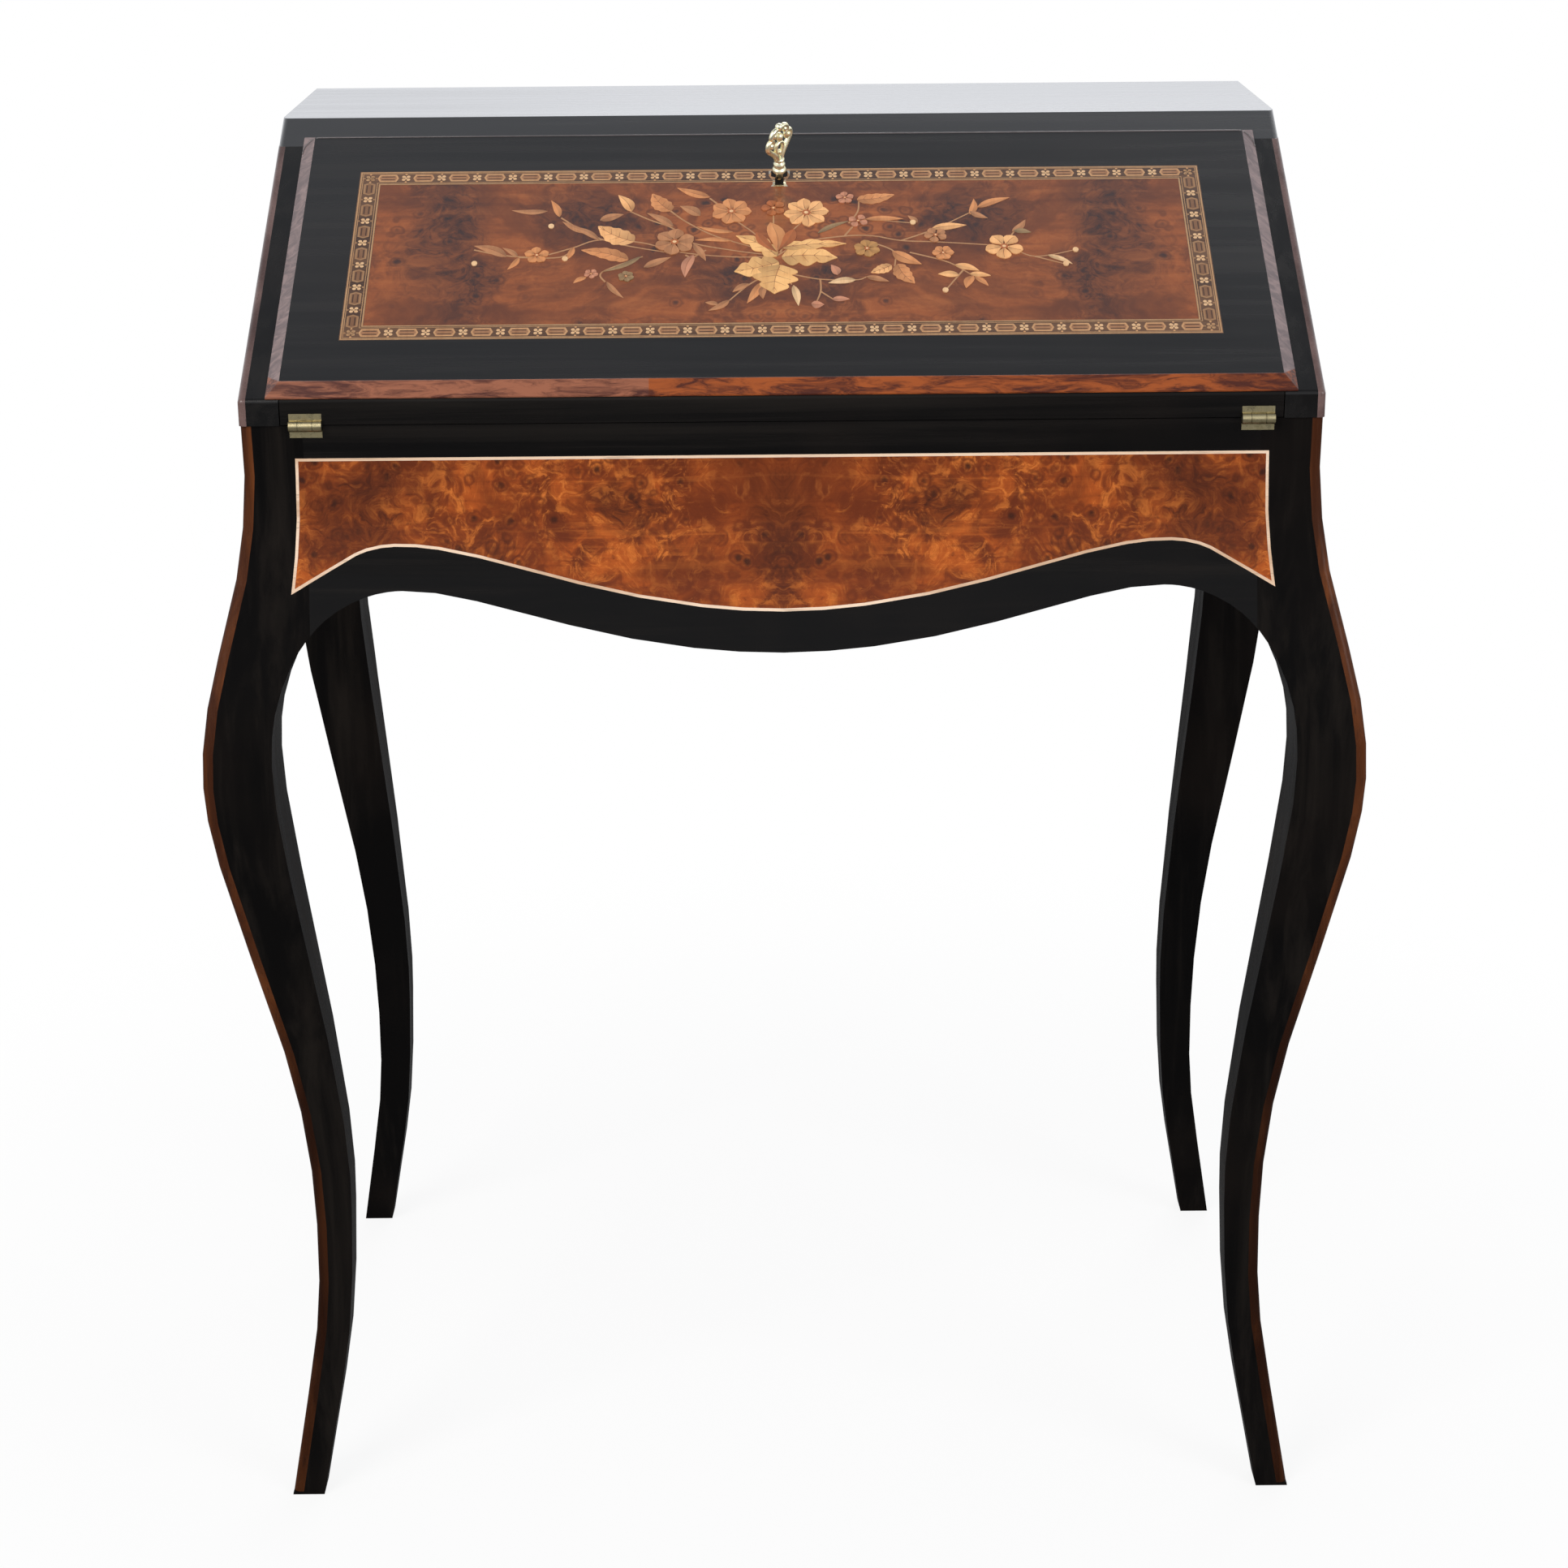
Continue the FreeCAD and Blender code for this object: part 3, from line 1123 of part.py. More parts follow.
def make_stays():
    """A folding brass stay on each side: plate on the cheek, two arms and a lug on the fall."""
    foot, elbow, out = stay_places()
    thick = size["stay_thickness"]
    play = size["stay_play"]
    rivet = size["stay_rivet_round"]
    plate_in = INNER_HALF - size["stay_plate_thickness"]
    lower_out = plate_in - play
    lower_in = lower_out - thick
    upper_out = lower_in - play
    upper_in = upper_out - thick
    lug_out = upper_in - play
    lug_in = lug_out - thick
    half_length = size["stay_plate_length"] / 2
    half_height = size["stay_plate_height"] / 2
    plate = block(plate_in, INNER_HALF, foot.y - half_length, foot.y + half_length,
                  foot.z - half_height + play, foot.z + half_height + play)
    stud = cross_rod(foot.y, foot.z, rivet, lower_in - play, plate_in)
    plate = plate.fuse(stud)
    lower = stay_arm(foot, elbow, lower_in, lower_out, True, False)
    elbow_rivet = cross_rod(elbow.y, elbow.z, rivet, upper_in - play, lower_out)
    lower = lower.fuse(elbow_rivet)
    upper = stay_arm(elbow, out, upper_in, upper_out, True, False)
    reach = size["stay_fall_reach"] + (HINGE - NOSE).dot(UP_SLOPE)
    half_lug = size["stay_lug_length"] / 2
    inner = -FALL_THICKNESS
    eye = size["stay_width"] / 2
    foot_plate = fall_block(lug_in - size["stay_lug_length"], lug_out, reach - half_lug, reach + half_lug,
                            inner - size["stay_plate_thickness"], inner)
    web = fall_block(lug_in, lug_out, reach - eye, reach + eye, inner - size["stay_fall_depth"], inner)
    lug = foot_plate.fuse([web, cross_rod(out.y, out.z, eye, lug_in, lug_out)])
    for name, shape in (("stay_lower_arm", lower), ("stay_upper_arm", upper)):
        arm = shape.removeSplitter().Solids[0]
        formed("right_" + name, arm)
        formed("left_" + name, mirrored(arm, X_AXIS))
    for name, shape in (("stay_cheek_plates", plate), ("stay_fall_lugs", lug)):
        fixed = shape.removeSplitter().Solids[0]
        formed(name, Part.makeCompound([fixed, mirrored(fixed, X_AXIS)]))


# Gallery and drawers


def bay_start(index):
    """Rule for the left side of one of the three bays between the dividers."""
    return "(-{inner_half} + %d * ({bay_width} + {divider_thickness}))" % index


def make_gallery():
    """Shelf over three drawers, with open pigeonholes above it."""
    shelf_top = "({shelf_low} + {shelf_thickness})"
    keep("gallery_shelf", board("gallery_shelf", ("-{inner_half}", "{inner_half}"), ("{gallery_front}", "{back_y}"),
                                ("{shelf_low}", shelf_top)))
    lower = []
    upper = []
    front = GALLERY_FRONT + size["divider_setback"]
    low = SHELF_LOW + size["shelf_thickness"]
    for index, side in enumerate(("left", "right")):
        start = bay_start(index) + " + {bay_width}"
        lower.append(board(side + "_drawer_divider", (start, start + " + {divider_thickness}"),
                           ("{gallery_front} + {divider_setback}", "{back_y}"), ("{bed}", "{shelf_low}")))
        x0 = -INNER_HALF + (index + 1) * BAY_WIDTH + index * size["divider_thickness"]
        edge = []
        for height_share, depth_share in DIVIDER_SHARES:
            edge.append(Vector(x0, front + depth_share * (BACK_Y - front), low + height_share * (TOP_UNDER - low)))
        curve = smooth_curve(edge)
        top_back = Vector(x0, BACK_Y, TOP_UNDER)
        low_back = Vector(x0, BACK_Y, low)
        wire = Part.Wire([curve.toShape(), Part.makeLine(edge[-1], top_back),
                          Part.makeLine(top_back, low_back), Part.makeLine(low_back, edge[0])])
        upper.append(Part.Face(wire).extrude(Vector(size["divider_thickness"], 0, 0)))
    keep("drawer_dividers", group_of("drawer_dividers", lower))
    formed("pigeonhole_dividers", Part.makeCompound(upper))


def make_drawer(name, index):
    """One small drawer: a front with a knob turned in the same wood, and a box."""
    left = bay_start(index) + " + {drawer_gap}"
    right = bay_start(index) + " + {bay_width} - {drawer_gap}"
    low = "({bed} + {drawer_gap} / 2)"
    high = "({shelf_low} - {drawer_gap})"
    front = "({gallery_front} + {drawer_setback})"
    joint = "(" + front + " + {drawer_front_thickness})"
    back = "({back_y} - {drawer_end_play})"
    middle = bay_start(index) + " + {bay_width} / 2"
    fronted = doc.addObject("Part::Fuse", name + "_drawer_front")
    fronted.Base = board(name + "_front_board", (left, right), (front, joint), (low, high))
    fronted.Tool = turned_knob(name + "_knob", middle, front, "(" + low + " + " + high + ") / 2")
    keep(name + "_drawer_front", fronted)
    blank = board(name + "_drawer_blank", (left, right), (joint, back), (low, high))
    room_span = (left + " + {drawer_side}", right + " - {drawer_side}")
    depth_span = (joint + " - {overrun}", back + " - {drawer_side}")
    floor = "(" + low + " + {drawer_bottom_lift})"
    inside = board(name + "_drawer_inside", room_span, depth_span,
                   (floor + " + {drawer_bottom}", high + " + {overrun}"))
    under = board(name + "_drawer_under", room_span, depth_span, (low + " - {overrun}", floor))
    keep(name + "_drawer_box", cut_from(name + "_drawer_box", blank, inside, under))


def turned_knob(name, x, y, z):
    """A neck and a flat-backed head with a bevelled front, revolved round an axis that points forward."""
    corners = [("0", "0"), ("{knob_neck}", "0"), ("{knob_neck}", "-%s * {knob_length}" % NECK_SHARE)]
    for radius_share, length_share in KNOB_SHARES:
        corners.append(("%s * {knob_round}" % radius_share, "-%s * {knob_length}" % length_share))
    corners.append(("0", "-{knob_length}"))
    body = doc.addObject("PartDesign::Body", name)
    sketch = corner_sketch(body, name + "_profile", "XY_Plane", corners)
    turned = body.newObject("PartDesign::Revolution", name + "_turned")
    turned.Profile = sketch
    turned.ReferenceAxis = (sketch, ["V_Axis"])
    turned.Angle = 360
    for axis, rule in (("x", x), ("y", y), ("z", z)):
        body.setExpression("Placement.Base." + axis, spelled(rule))
    return body


def check_and_export():
    """Stop on any failed object or bad shape, then write each sub-part to its own file."""
    doc.recompute()
    for thing in doc.Objects:
        if "Invalid" in thing.State or "Error" in thing.State:
            raise RuntimeError("failed object: " + thing.Label)
    os.makedirs("parts", exist_ok=True)
    for label, thing in PIECES.items():
        shape = thing.Shape
        if shape.isNull() or not shape.isValid():
            raise RuntimeError("bad shape: " + label)
        if not shape.Solids:
            raise RuntimeError("no solid: " + label)
    for label, thing in PIECES.items():
        thing.Shape.exportStep("parts/%s.step" % label)
    print("%d sub-parts written" % len(PIECES))


make_legs()
make_aprons()
make_hinges()
make_case()
make_fall()
make_lock()
make_key()
make_stays()
make_gallery()
for bay_index, bay_name in enumerate(("left", "centre", "right")):
    make_drawer(bay_name, bay_index)
check_and_export()
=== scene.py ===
import json
import math

import bpy
from mathutils import Matrix, Vector

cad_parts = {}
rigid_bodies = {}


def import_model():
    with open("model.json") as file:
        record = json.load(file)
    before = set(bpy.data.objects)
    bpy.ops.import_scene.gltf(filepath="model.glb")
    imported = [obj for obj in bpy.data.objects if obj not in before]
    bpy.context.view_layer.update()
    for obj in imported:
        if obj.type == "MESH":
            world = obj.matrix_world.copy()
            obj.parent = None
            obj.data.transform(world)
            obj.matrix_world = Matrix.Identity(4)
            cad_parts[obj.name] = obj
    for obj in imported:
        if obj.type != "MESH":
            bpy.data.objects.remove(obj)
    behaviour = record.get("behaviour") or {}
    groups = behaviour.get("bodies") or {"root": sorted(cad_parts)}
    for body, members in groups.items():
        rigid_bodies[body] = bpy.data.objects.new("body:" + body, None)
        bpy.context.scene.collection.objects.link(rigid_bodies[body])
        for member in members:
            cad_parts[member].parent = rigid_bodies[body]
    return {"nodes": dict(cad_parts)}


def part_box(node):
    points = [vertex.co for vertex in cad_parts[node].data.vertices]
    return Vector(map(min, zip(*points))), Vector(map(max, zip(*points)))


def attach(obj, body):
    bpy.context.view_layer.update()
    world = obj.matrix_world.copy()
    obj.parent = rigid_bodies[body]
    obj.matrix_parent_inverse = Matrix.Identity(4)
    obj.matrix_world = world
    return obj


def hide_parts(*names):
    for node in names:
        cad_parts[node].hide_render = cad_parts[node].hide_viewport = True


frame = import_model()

for spare in [o for o in bpy.data.objects if o.name not in frame["nodes"] and not o.name.startswith("body:")]:
    bpy.data.objects.remove(spare)
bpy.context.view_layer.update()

MM = 0.001
NODES = frame["nodes"]

# The fall's slope: its nose, and the directions up it and out of it
SLOPE = math.atan2(138.0, 249.0)
NOSE = Vector((0, -210.0, 756.0))
UP_SLOPE = Vector((0, math.cos(SLOPE), math.sin(SLOPE)))
OUT_SLOPE = Vector((0, -math.sin(SLOPE), math.cos(SLOPE)))

# Heights and widths on the fall, in millimetres
PANEL_FACE = 7.5
FIELD_X, FIELD_LOW, FIELD_HIGH = 258.4, 60.6, 201.6
BORDER = 14.0
KEY_UP = 206.04


def fall_point(x, up, out):
    """A point in the fall's own directions, in millimetres, as a point of the scene."""
    return (NOSE + Vector((x, 0, 0)) + UP_SLOPE * up + OUT_SLOPE * out) * MM


# Materials

class Tree:
    """The node tree of a material or a world, emptied and then filled."""

    def __init__(self, owner):
        owner.use_nodes = True
        self.tree = owner.node_tree
        self.tree.nodes.clear()

    def node(self, kind, values=(), **settings):
        """A shader node with its settings and its inputs, which are values or other sockets."""
        made = self.tree.nodes.new("ShaderNode" + kind)
        for key, value in settings.items():
            setattr(made, key, value)
        for socket, value in values:
            self.feed(made.inputs[socket], value)
        return made

    def feed(self, socket, value):
        if isinstance(value, bpy.types.NodeSocket):
            self.tree.links.new(value, socket)
        elif isinstance(value, tuple) and len(value) == 3 and len(socket.default_value) == 4:
            socket.default_value = (*value, 1.0)
        else:
            socket.default_value = value


class Graph(Tree):
    """A material with one Principled shader."""

    def __init__(self, name, rough=0.4, metal=0.0, coat=0.0, coat_rough=0.05, specular=0.5):
        self.material = bpy.data.materials.new(name)
        super().__init__(self.material)
        output = self.node("OutputMaterial")
        self.shader = self.node("BsdfPrincipled", [
            ("Roughness", rough), ("Metallic", metal), ("Coat Weight", coat),
            ("Coat Roughness", coat_rough), ("Specular IOR Level", specular)])
        self.feed(output.inputs["Surface"], self.shader.outputs["BSDF"])

    def place(self, scale=(1, 1, 1), mirror=False):
        """Object coordinates in metres, stretched; mirror folds them about the desk's middle planes."""
        coords = self.node("TexCoord").outputs["Object"]
        if mirror:
            coords = self.node("VectorMath", [(0, coords)], operation="ABSOLUTE").outputs[0]
        return self.node("Mapping", [("Vector", coords), ("Scale", scale)]).outputs[0]

    def noise(self, vector, scale, detail=4.0, rough=0.55, distortion=0.0):
        return self.node("TexNoise", [("Vector", vector), ("Scale", scale), ("Detail", detail),
                                      ("Roughness", rough), ("Distortion", distortion)])

    def vector_maths(self, operation, first, second):
        return self.node("VectorMath", [(0, first), (1, second)], operation=operation).outputs[0]

    def warped(self, vector, scale, amount):
        """The coordinates pushed about by a soft noise."""
        push = self.noise(vector, scale, 3.0).outputs["Color"]
        moved = self.vector_maths("SUBTRACT", push, (0.5, 0.5, 0.5))
        scaled = self.node("VectorMath", [(0, moved), ("Scale", amount)], operation="SCALE")
        return self.vector_maths("ADD", vector, scaled.outputs[0])

    def cells(self, vector, scale):
        return self.node("TexVoronoi", [("Vector", vector), ("Scale", scale)]).outputs["Distance"]

    def span(self, value, low, high, to_low=0.0, to_high=1.0):
        """The value moved softly from one range to another, and held at its ends."""
        made = self.node("MapRange", [("Value", value), ("From Min", low), ("From Max", high),
                                      ("To Min", to_low), ("To Max", to_high)],
                         interpolation_type="SMOOTHSTEP")
        return made.outputs[0]

    def maths(self, operation, first, second):
        return self.node("Math", [(0, first), (1, second)], operation=operation).outputs[0]

    def mix(self, share, first, second, blend="MIX"):
        """Two colours mixed; a Mix node's colour sockets are inputs 6 and 7 and output 2."""
        made = self.node("Mix", [("Factor", share), (6, first), (7, second)],
                         data_type="RGBA", blend_type=blend)
        return made.outputs[2]

    def part(self, vector, axis):
        return self.node("SeparateXYZ", [("Vector", vector)]).outputs[axis]

    def blob(self, vector, centre, radius, stretch):
        """A soft spot round a point: 1 in its middle, 0 beyond its radius."""
        gap = self.vector_maths("SUBTRACT", vector, centre)
        scaled = self.vector_maths("MULTIPLY", gap, stretch)
        reach = self.node("VectorMath", [(0, scaled)], operation="LENGTH").outputs["Value"]
        return self.span(reach, radius * 0.25, radius, 1.0, 0.0)

    def bump(self, height, strength, depth):
        made = self.node("Bump", [("Height", height), ("Strength", strength), ("Distance", depth)])
        self.feed(self.shader.inputs["Normal"], made.outputs[0])

    def colour(self, value):
        self.feed(self.shader.inputs["Base Color"], value)
        return self.material

    def roughness(self, value):
        self.feed(self.shader.inputs["Roughness"], value)


def grained(name, dark, light, grain, rough=0.35, coat=0.3, streak=45.0, depth=0.00006, gloss=0.5, foot=None):
    """A straight-grained wood; grain is the axis that the fibres follow.

    foot gives two heights and the share of its colour that the wood keeps under the lower one: a painted
    shade, darker towards the floor.
    """
    made = Graph(name, rough, coat=coat, coat_rough=0.08, specular=gloss)
    stretch = [streak, streak, streak]
    stretch[grain] = streak / 22
    place = made.place(tuple(stretch))
    broad = made.noise(place, 0.55, 5.0, 0.6, 0.6).outputs["Fac"]
    fine = made.noise(place, 9.0, 3.0, 0.65).outputs["Fac"]
    wood = made.mix(made.span(broad, 0.35, 0.68), dark, light)
    pores = made.span(fine, 0.56, 0.74)
    shade = tuple(c * 0.55 for c in dark)
    wood = made.mix(made.maths("MULTIPLY", pores, 0.55), wood, shade)
    # Painted shade: darker under the lower height of foot, fading out up to its higher one
    if foot:
        low, high, share = foot
        painted_shade_low = made.mix(1.0, wood, (share, share, share), "MULTIPLY")
        wood = made.mix(made.span(made.part(made.place(), "Z"), low, high), painted_shade_low, wood)
    made.roughness(made.span(fine, 0.3, 0.75, rough - 0.05, rough + 0.1))
    made.bump(fine, 0.25, depth)
    return made.colour(wood)


BLACK, BROWN_BLACK, WORN_BLACK = (0.0028, 0.0026, 0.0026), (0.0085, 0.007, 0.006), (0.008, 0.006, 0.005)


def ebonised(name, grain, gloss, coat, painted_sheen=1.0):
    """Black polish over close-grained wood: faint streaks show in its sheen; the last argument lightens its
    base as a painted sheen.
    """
    made = Graph(name, 0.24, coat=coat, coat_rough=0.06, specular=gloss)
    stretch = [70.0, 70.0, 70.0]
    stretch[grain] = 2.6
    place = made.place(tuple(stretch))
    streaks = made.noise(place, 0.8, 6.0, 0.62, 0.4).outputs["Fac"]
    clouds = made.noise(made.place((3, 3, 3)), 2.2, 3.0).outputs["Fac"]
    black, brown, worn = [tuple(c * painted_sheen for c in colour) for colour in (BLACK, BROWN_BLACK, WORN_BLACK)]
    base = made.mix(made.span(streaks, 0.42, 0.75), black, brown)
    base = made.mix(made.span(clouds, 0.45, 0.72, 0.0, 0.6), base, worn)
    made.roughness(made.span(streaks, 0.3, 0.75, 0.2, 0.34))
    made.bump(streaks, 0.12, 0.00005)
    return made.colour(base)


def burl(name, base, pale, deep, cloud, spots, clouded=1.0, gloss=0.15, coat=0.0, curl=1.0, lines=0.4):
    """Burl veneer: warm ground with curling figure, clusters of dark eyes, and dark clouds at the spots."""
    made = Graph(name, 0.26, coat=coat, coat_rough=0.07, specular=gloss)
    place = made.place(mirror=True)
    bent = made.warped(place, 16.0, 0.045)
    swirl = made.warped(bent, 60.0, 0.012)
    broad = made.noise(made.warped(place, 7.0, 0.05), 11.0, 4.0, 0.55, 1.2).outputs["Fac"]
    ground = made.noise(bent, 26.0, 6.0, 0.62, 0.9).outputs["Fac"]
    figure = made.noise(swirl, 70.0, 6.0, 0.7, 1.8).outputs["Fac"]
    streaks = made.noise(made.place((9, 9, 150), True), 1.0, 4.0, 0.6, 0.8).outputs["Fac"]
    wood = made.mix(made.span(ground, 0.34, 0.58), deep, base)
    wood = made.mix(made.span(figure, 0.48, 0.66, 0.0, 0.8 * curl), wood, pale)
    wood = made.mix(made.span(figure, 0.34, 0.46, 0.6 * curl, 0.0), wood, deep)
    wood = made.mix(made.span(streaks, 0.5, 0.7, 0.0, lines), wood, deep)
    wood = made.mix(made.span(streaks, 0.3, 0.48, lines, 0.0), wood, pale)
    wood = made.mix(made.span(broad, 0.38, 0.54, 0.7, 0.0), wood, deep)
    groups = made.span(made.noise(place, 17.0, 2.0).outputs["Fac"], 0.43, 0.57)
    cells = made.cells(made.warped(place, 90.0, 0.006), 82.0)
    eyes = made.maths("MULTIPLY", made.span(cells, 0.08, 0.31, 1.0, 0.0), groups)
    off_ring = made.maths("ABSOLUTE", made.maths("SUBTRACT", cells, 0.36), 0.0)
    rings = made.maths("MULTIPLY", made.span(off_ring, 0.0, 0.13, 1.0, 0.0), groups)
    wood = made.mix(made.maths("MULTIPLY", rings, 0.75), wood, deep)
    wood = made.mix(made.maths("MULTIPLY", eyes, 0.85), wood, cloud)
    shade = made.blob(bent, *spots[0])
    for spot in spots[1:]:
        shade = made.maths("MAXIMUM", shade, made.blob(bent, *spot))
    mottled = made.maths("MULTIPLY", shade, made.span(figure, 0.25, 0.6, 1.0, 0.45))
    wood = made.mix(made.maths("MULTIPLY", mottled, clouded), wood, cloud)
    fine = made.noise(place, 420.0, 3.0, 0.7).outputs["Fac"]
    wood = made.mix(made.span(fine, 0.3, 0.7, 0.0, 0.16), wood, deep)
    made.bump(figure, 0.08, 0.00008)
    return made.colour(wood)


def metal(name, colour, dull, rough):
    """Polished metal with slightly duller patches."""
    made = Graph(name, rough, metal=1.0)
    patches = made.noise(made.place((1, 1, 1)), 190.0, 4.0, 0.6).outputs["Fac"]
    made.roughness(made.span(patches, 0.35, 0.7, rough - 0.06, rough + 0.16))
    made.bump(patches, 0.15, 0.00008)
    return made.colour(made.mix(made.span(patches, 0.45, 0.75), colour, dull))


def inlay_wood(name):
    """Small pieces of sawn veneer, in the colour that their mesh gives each point."""
    made = Graph(name, 0.3, coat=0.3, coat_rough=0.08)
    tone = made.node("Attribute", attribute_name="tone").outputs["Color"]
    fibres = made.noise(made.place((380, 40, 40)), 1.0, 4.0, 0.6, 0.5).outputs["Fac"]
    mottle = made.noise(made.place((60, 60, 60)), 2.0, 3.0).outputs["Fac"]
    wood = made.mix(made.span(fibres, 0.4, 0.75, 0.0, 0.3), tone, (0.5, 0.3, 0.15), "MULTIPLY")
    wood = made.mix(made.span(mottle, 0.4, 0.75, 0.0, 0.3), wood, (0.8, 0.62, 0.45), "MULTIPLY")
    made.bump(fibres, 0.1, 0.00005)
    return made.colour(wood)


def leather(name):
    """Dark red hide with a fine pebbled grain and lighter, worn patches."""
    made = Graph(name, 0.5, coat=0.15, coat_rough=0.3)
    place = made.place((1, 1, 1))
    cells = made.cells(made.warped(place, 300.0, 0.002), 520.0)
    wear = made.noise(place, 14.0, 5.0).outputs["Fac"]
    hide = made.mix(made.span(wear, 0.4, 0.7), (0.085, 0.018, 0.014), (0.15, 0.038, 0.026))
    hide = made.mix(made.span(cells, 0.25, 0.6, 0.0, 0.3), hide, (0.04, 0.01, 0.008))
    made.bump(cells, 0.5, 0.00018)
    return made.colour(hide)


# Where the strips round the panel change wood, in metres: height of the foot strip's top, and its seam
FOOT_TOP = (0.7665, 0.7672)
FOOT_SEAM = (-0.0812, -0.0804)


def bevel_woods(name):
    """Dull rosewood at the sides and top of the panel, its pinkish grey partly the wood and partly a painted
    reflection; burl veneer in two lengths along its foot.
    """
    made = Graph(name, 0.22, coat=0.12, coat_rough=0.06, specular=0.25)
    place = made.place()
    x = made.part(place, "X")
    z = made.part(place, "Z")
    low = made.span(z, *FOOT_TOP, 1.0, 0.0)
    streaks = made.noise(made.place((22, 80, 80)), 1.3, 5.0, 0.62, 1.2).outputs["Fac"]
    figure = made.noise(made.warped(made.place((12, 60, 60)), 2.0, 0.6), 1.6, 6.0, 0.68, 1.2).outputs["Fac"]
    # Pinkish grey rosewood: the wood's colour with a painted reflection of the side light in it
    rose = made.mix(made.span(streaks, 0.35, 0.68), (0.16, 0.115, 0.115), (0.30, 0.21, 0.20))
    left = made.mix(made.span(figure, 0.38, 0.6), (0.07, 0.018, 0.012), (0.31, 0.11, 0.058))
    right = made.mix(made.span(figure, 0.38, 0.6), (0.065, 0.012, 0.005), (0.33, 0.075, 0.014))
    foot = made.mix(made.span(x, *FOOT_SEAM), left, right)
    made.bump(figure, 0.06, 0.00006)
    return made.colour(made.mix(low, rose, foot))


# EBONY_X and EBONY_Z have a lighter base through their last argument: a painted sheen
EBONY_X = ebonised("ebonised_wood_x", 0, gloss=0.1, coat=0.0, painted_sheen=1.4)
EBONY_Y = ebonised("ebonised_wood_y", 1, gloss=0.1, coat=0.0)
EBONY_Z = ebonised("ebonised_wood_z", 2, gloss=0.015, coat=0.0, painted_sheen=1.5)
EBONY_CHEEK = ebonised("ebonised_cheek", 1, gloss=0.3, coat=0.12)
EBONY_PANEL = ebonised("ebonised_panel", 0, gloss=0.5, coat=0.35)
EBONY_TOP = ebonised("ebonised_top", 0, gloss=0.6, coat=1.0)
# Rosewood of the leg corners, with painted shade on the lower part of the legs
ROSEWOOD = grained("rosewood", (0.045, 0.013, 0.005), (0.17, 0.05, 0.014), 2, 0.24, 0.0, 55.0, gloss=0.1,
                   foot=(0.28, 0.5, 0.42))
EDGING = grained("rosewood_edging", (0.075, 0.042, 0.038), (0.17, 0.105, 0.095), 1, 0.24, 0.25, 55.0,
                 gloss=0.3)
BEVELS = bevel_woods("rosewood_and_burl")
FRONT_BURL = burl(
    "burl_front", (0.41, 0.085, 0.014), (0.70, 0.20, 0.035), (0.13, 0.026, 0.008), (0.03, 0.011, 0.007),
    [((0.262, 0.221, 0.688), 0.056, (1, 0.2, 1.1)), ((0.185, 0.221, 0.655), 0.034, (1, 0.2, 1)),
     ((0.0, 0.221, 0.66), 0.05, (1.6, 0.2, 0.7)), ((0.095, 0.221, 0.69), 0.03, (1, 0.2, 1))], clouded=0.85)
SIDE_BURL = burl(
    "burl_side", (0.43, 0.092, 0.015), (0.72, 0.22, 0.04), (0.15, 0.03, 0.008), (0.035, 0.012, 0.007),
    [((0.34, 0.10, 0.69), 0.04, (0.2, 1, 1)), ((0.34, 0.0, 0.66), 0.03, (0.2, 1.5, 1))], clouded=0.6)
GROUND_BURL = burl(
    "burl_ground", (0.34, 0.096, 0.03), (0.50, 0.16, 0.05), (0.14, 0.042, 0.02), (0.02, 0.017, 0.021),
    [((0.214, 0.085, 0.845), 0.07, (1.9, 0.6, 0.6)), ((0.195, 0.125, 0.81), 0.045, (1.3, 0.8, 0.8)),
     ((0.12, 0.07, 0.852), 0.045, (0.7, 1, 1)), ((0.03, 0.12, 0.81), 0.03, (1, 1, 1))],
    gloss=0.4, coat=0.3, curl=0.4, lines=0.55)
BAND = grained("border_ground", (0.055, 0.022, 0.011), (0.16, 0.075, 0.035), 0, 0.3, 0.4, 90.0)
STRINGING = grained("pale_stringing", (0.62, 0.40, 0.25), (0.90, 0.68, 0.50), 0, 0.3, 0.4, 60.0)
BOXWOOD = grained("boxwood", (0.46, 0.27, 0.12), (0.70, 0.46, 0.24), 0, 0.3, 0.4, 60.0)
INTERIOR, INTERIOR_Z = [grained(name, (0.10, 0.03, 0.014), (0.26, 0.095, 0.04), grain, 0.32, 0.35, 38.0)
                        for name, grain in (("mahogany", 0), ("mahogany_upright", 2))]
CARCASE, CARCASE_Y = [grained(name, (0.26, 0.15, 0.07), (0.46, 0.30, 0.16), grain, 0.55, 0.0, 34.0, 0.00012)
                      for name, grain in (("oak", 0), ("oak_deep", 1))]
BRASS = metal("brass", (0.55, 0.47, 0.27), (0.29, 0.24, 0.13), 0.3)
GILT = metal("gilt_metal", (1.0, 0.96, 0.68), (0.98, 0.88, 0.56), 0.3)
PALE_METAL = metal("pale_metal", (0.86, 0.82, 0.70), (0.6, 0.55, 0.44), 0.22)
STEEL = metal("steel", (0.5, 0.5, 0.51), (0.3, 0.3, 0.31), 0.3)
# Near black for the inside of the keyhole plate: painted shade of the keyhole and the key's shank
PAINTED_KEYHOLE_SHADE = grained("keyhole_painted_shade", (0.004, 0.003, 0.003), (0.012, 0.009, 0.007), 0, 0.5, 0.0, gloss=0.1)
# Grey for the slim bead on the raised panel's top edge: a painted highlight
PAINTED_HIGHLIGHT_GREY = grained("bead_painted_highlight", (0.085, 0.075, 0.076), (0.15, 0.13, 0.13), 0, 0.25, 0.2, 60.0, gloss=0.3)
HIDE = leather("writing_leather")
INLAY = inlay_wood("marquetry_woods")

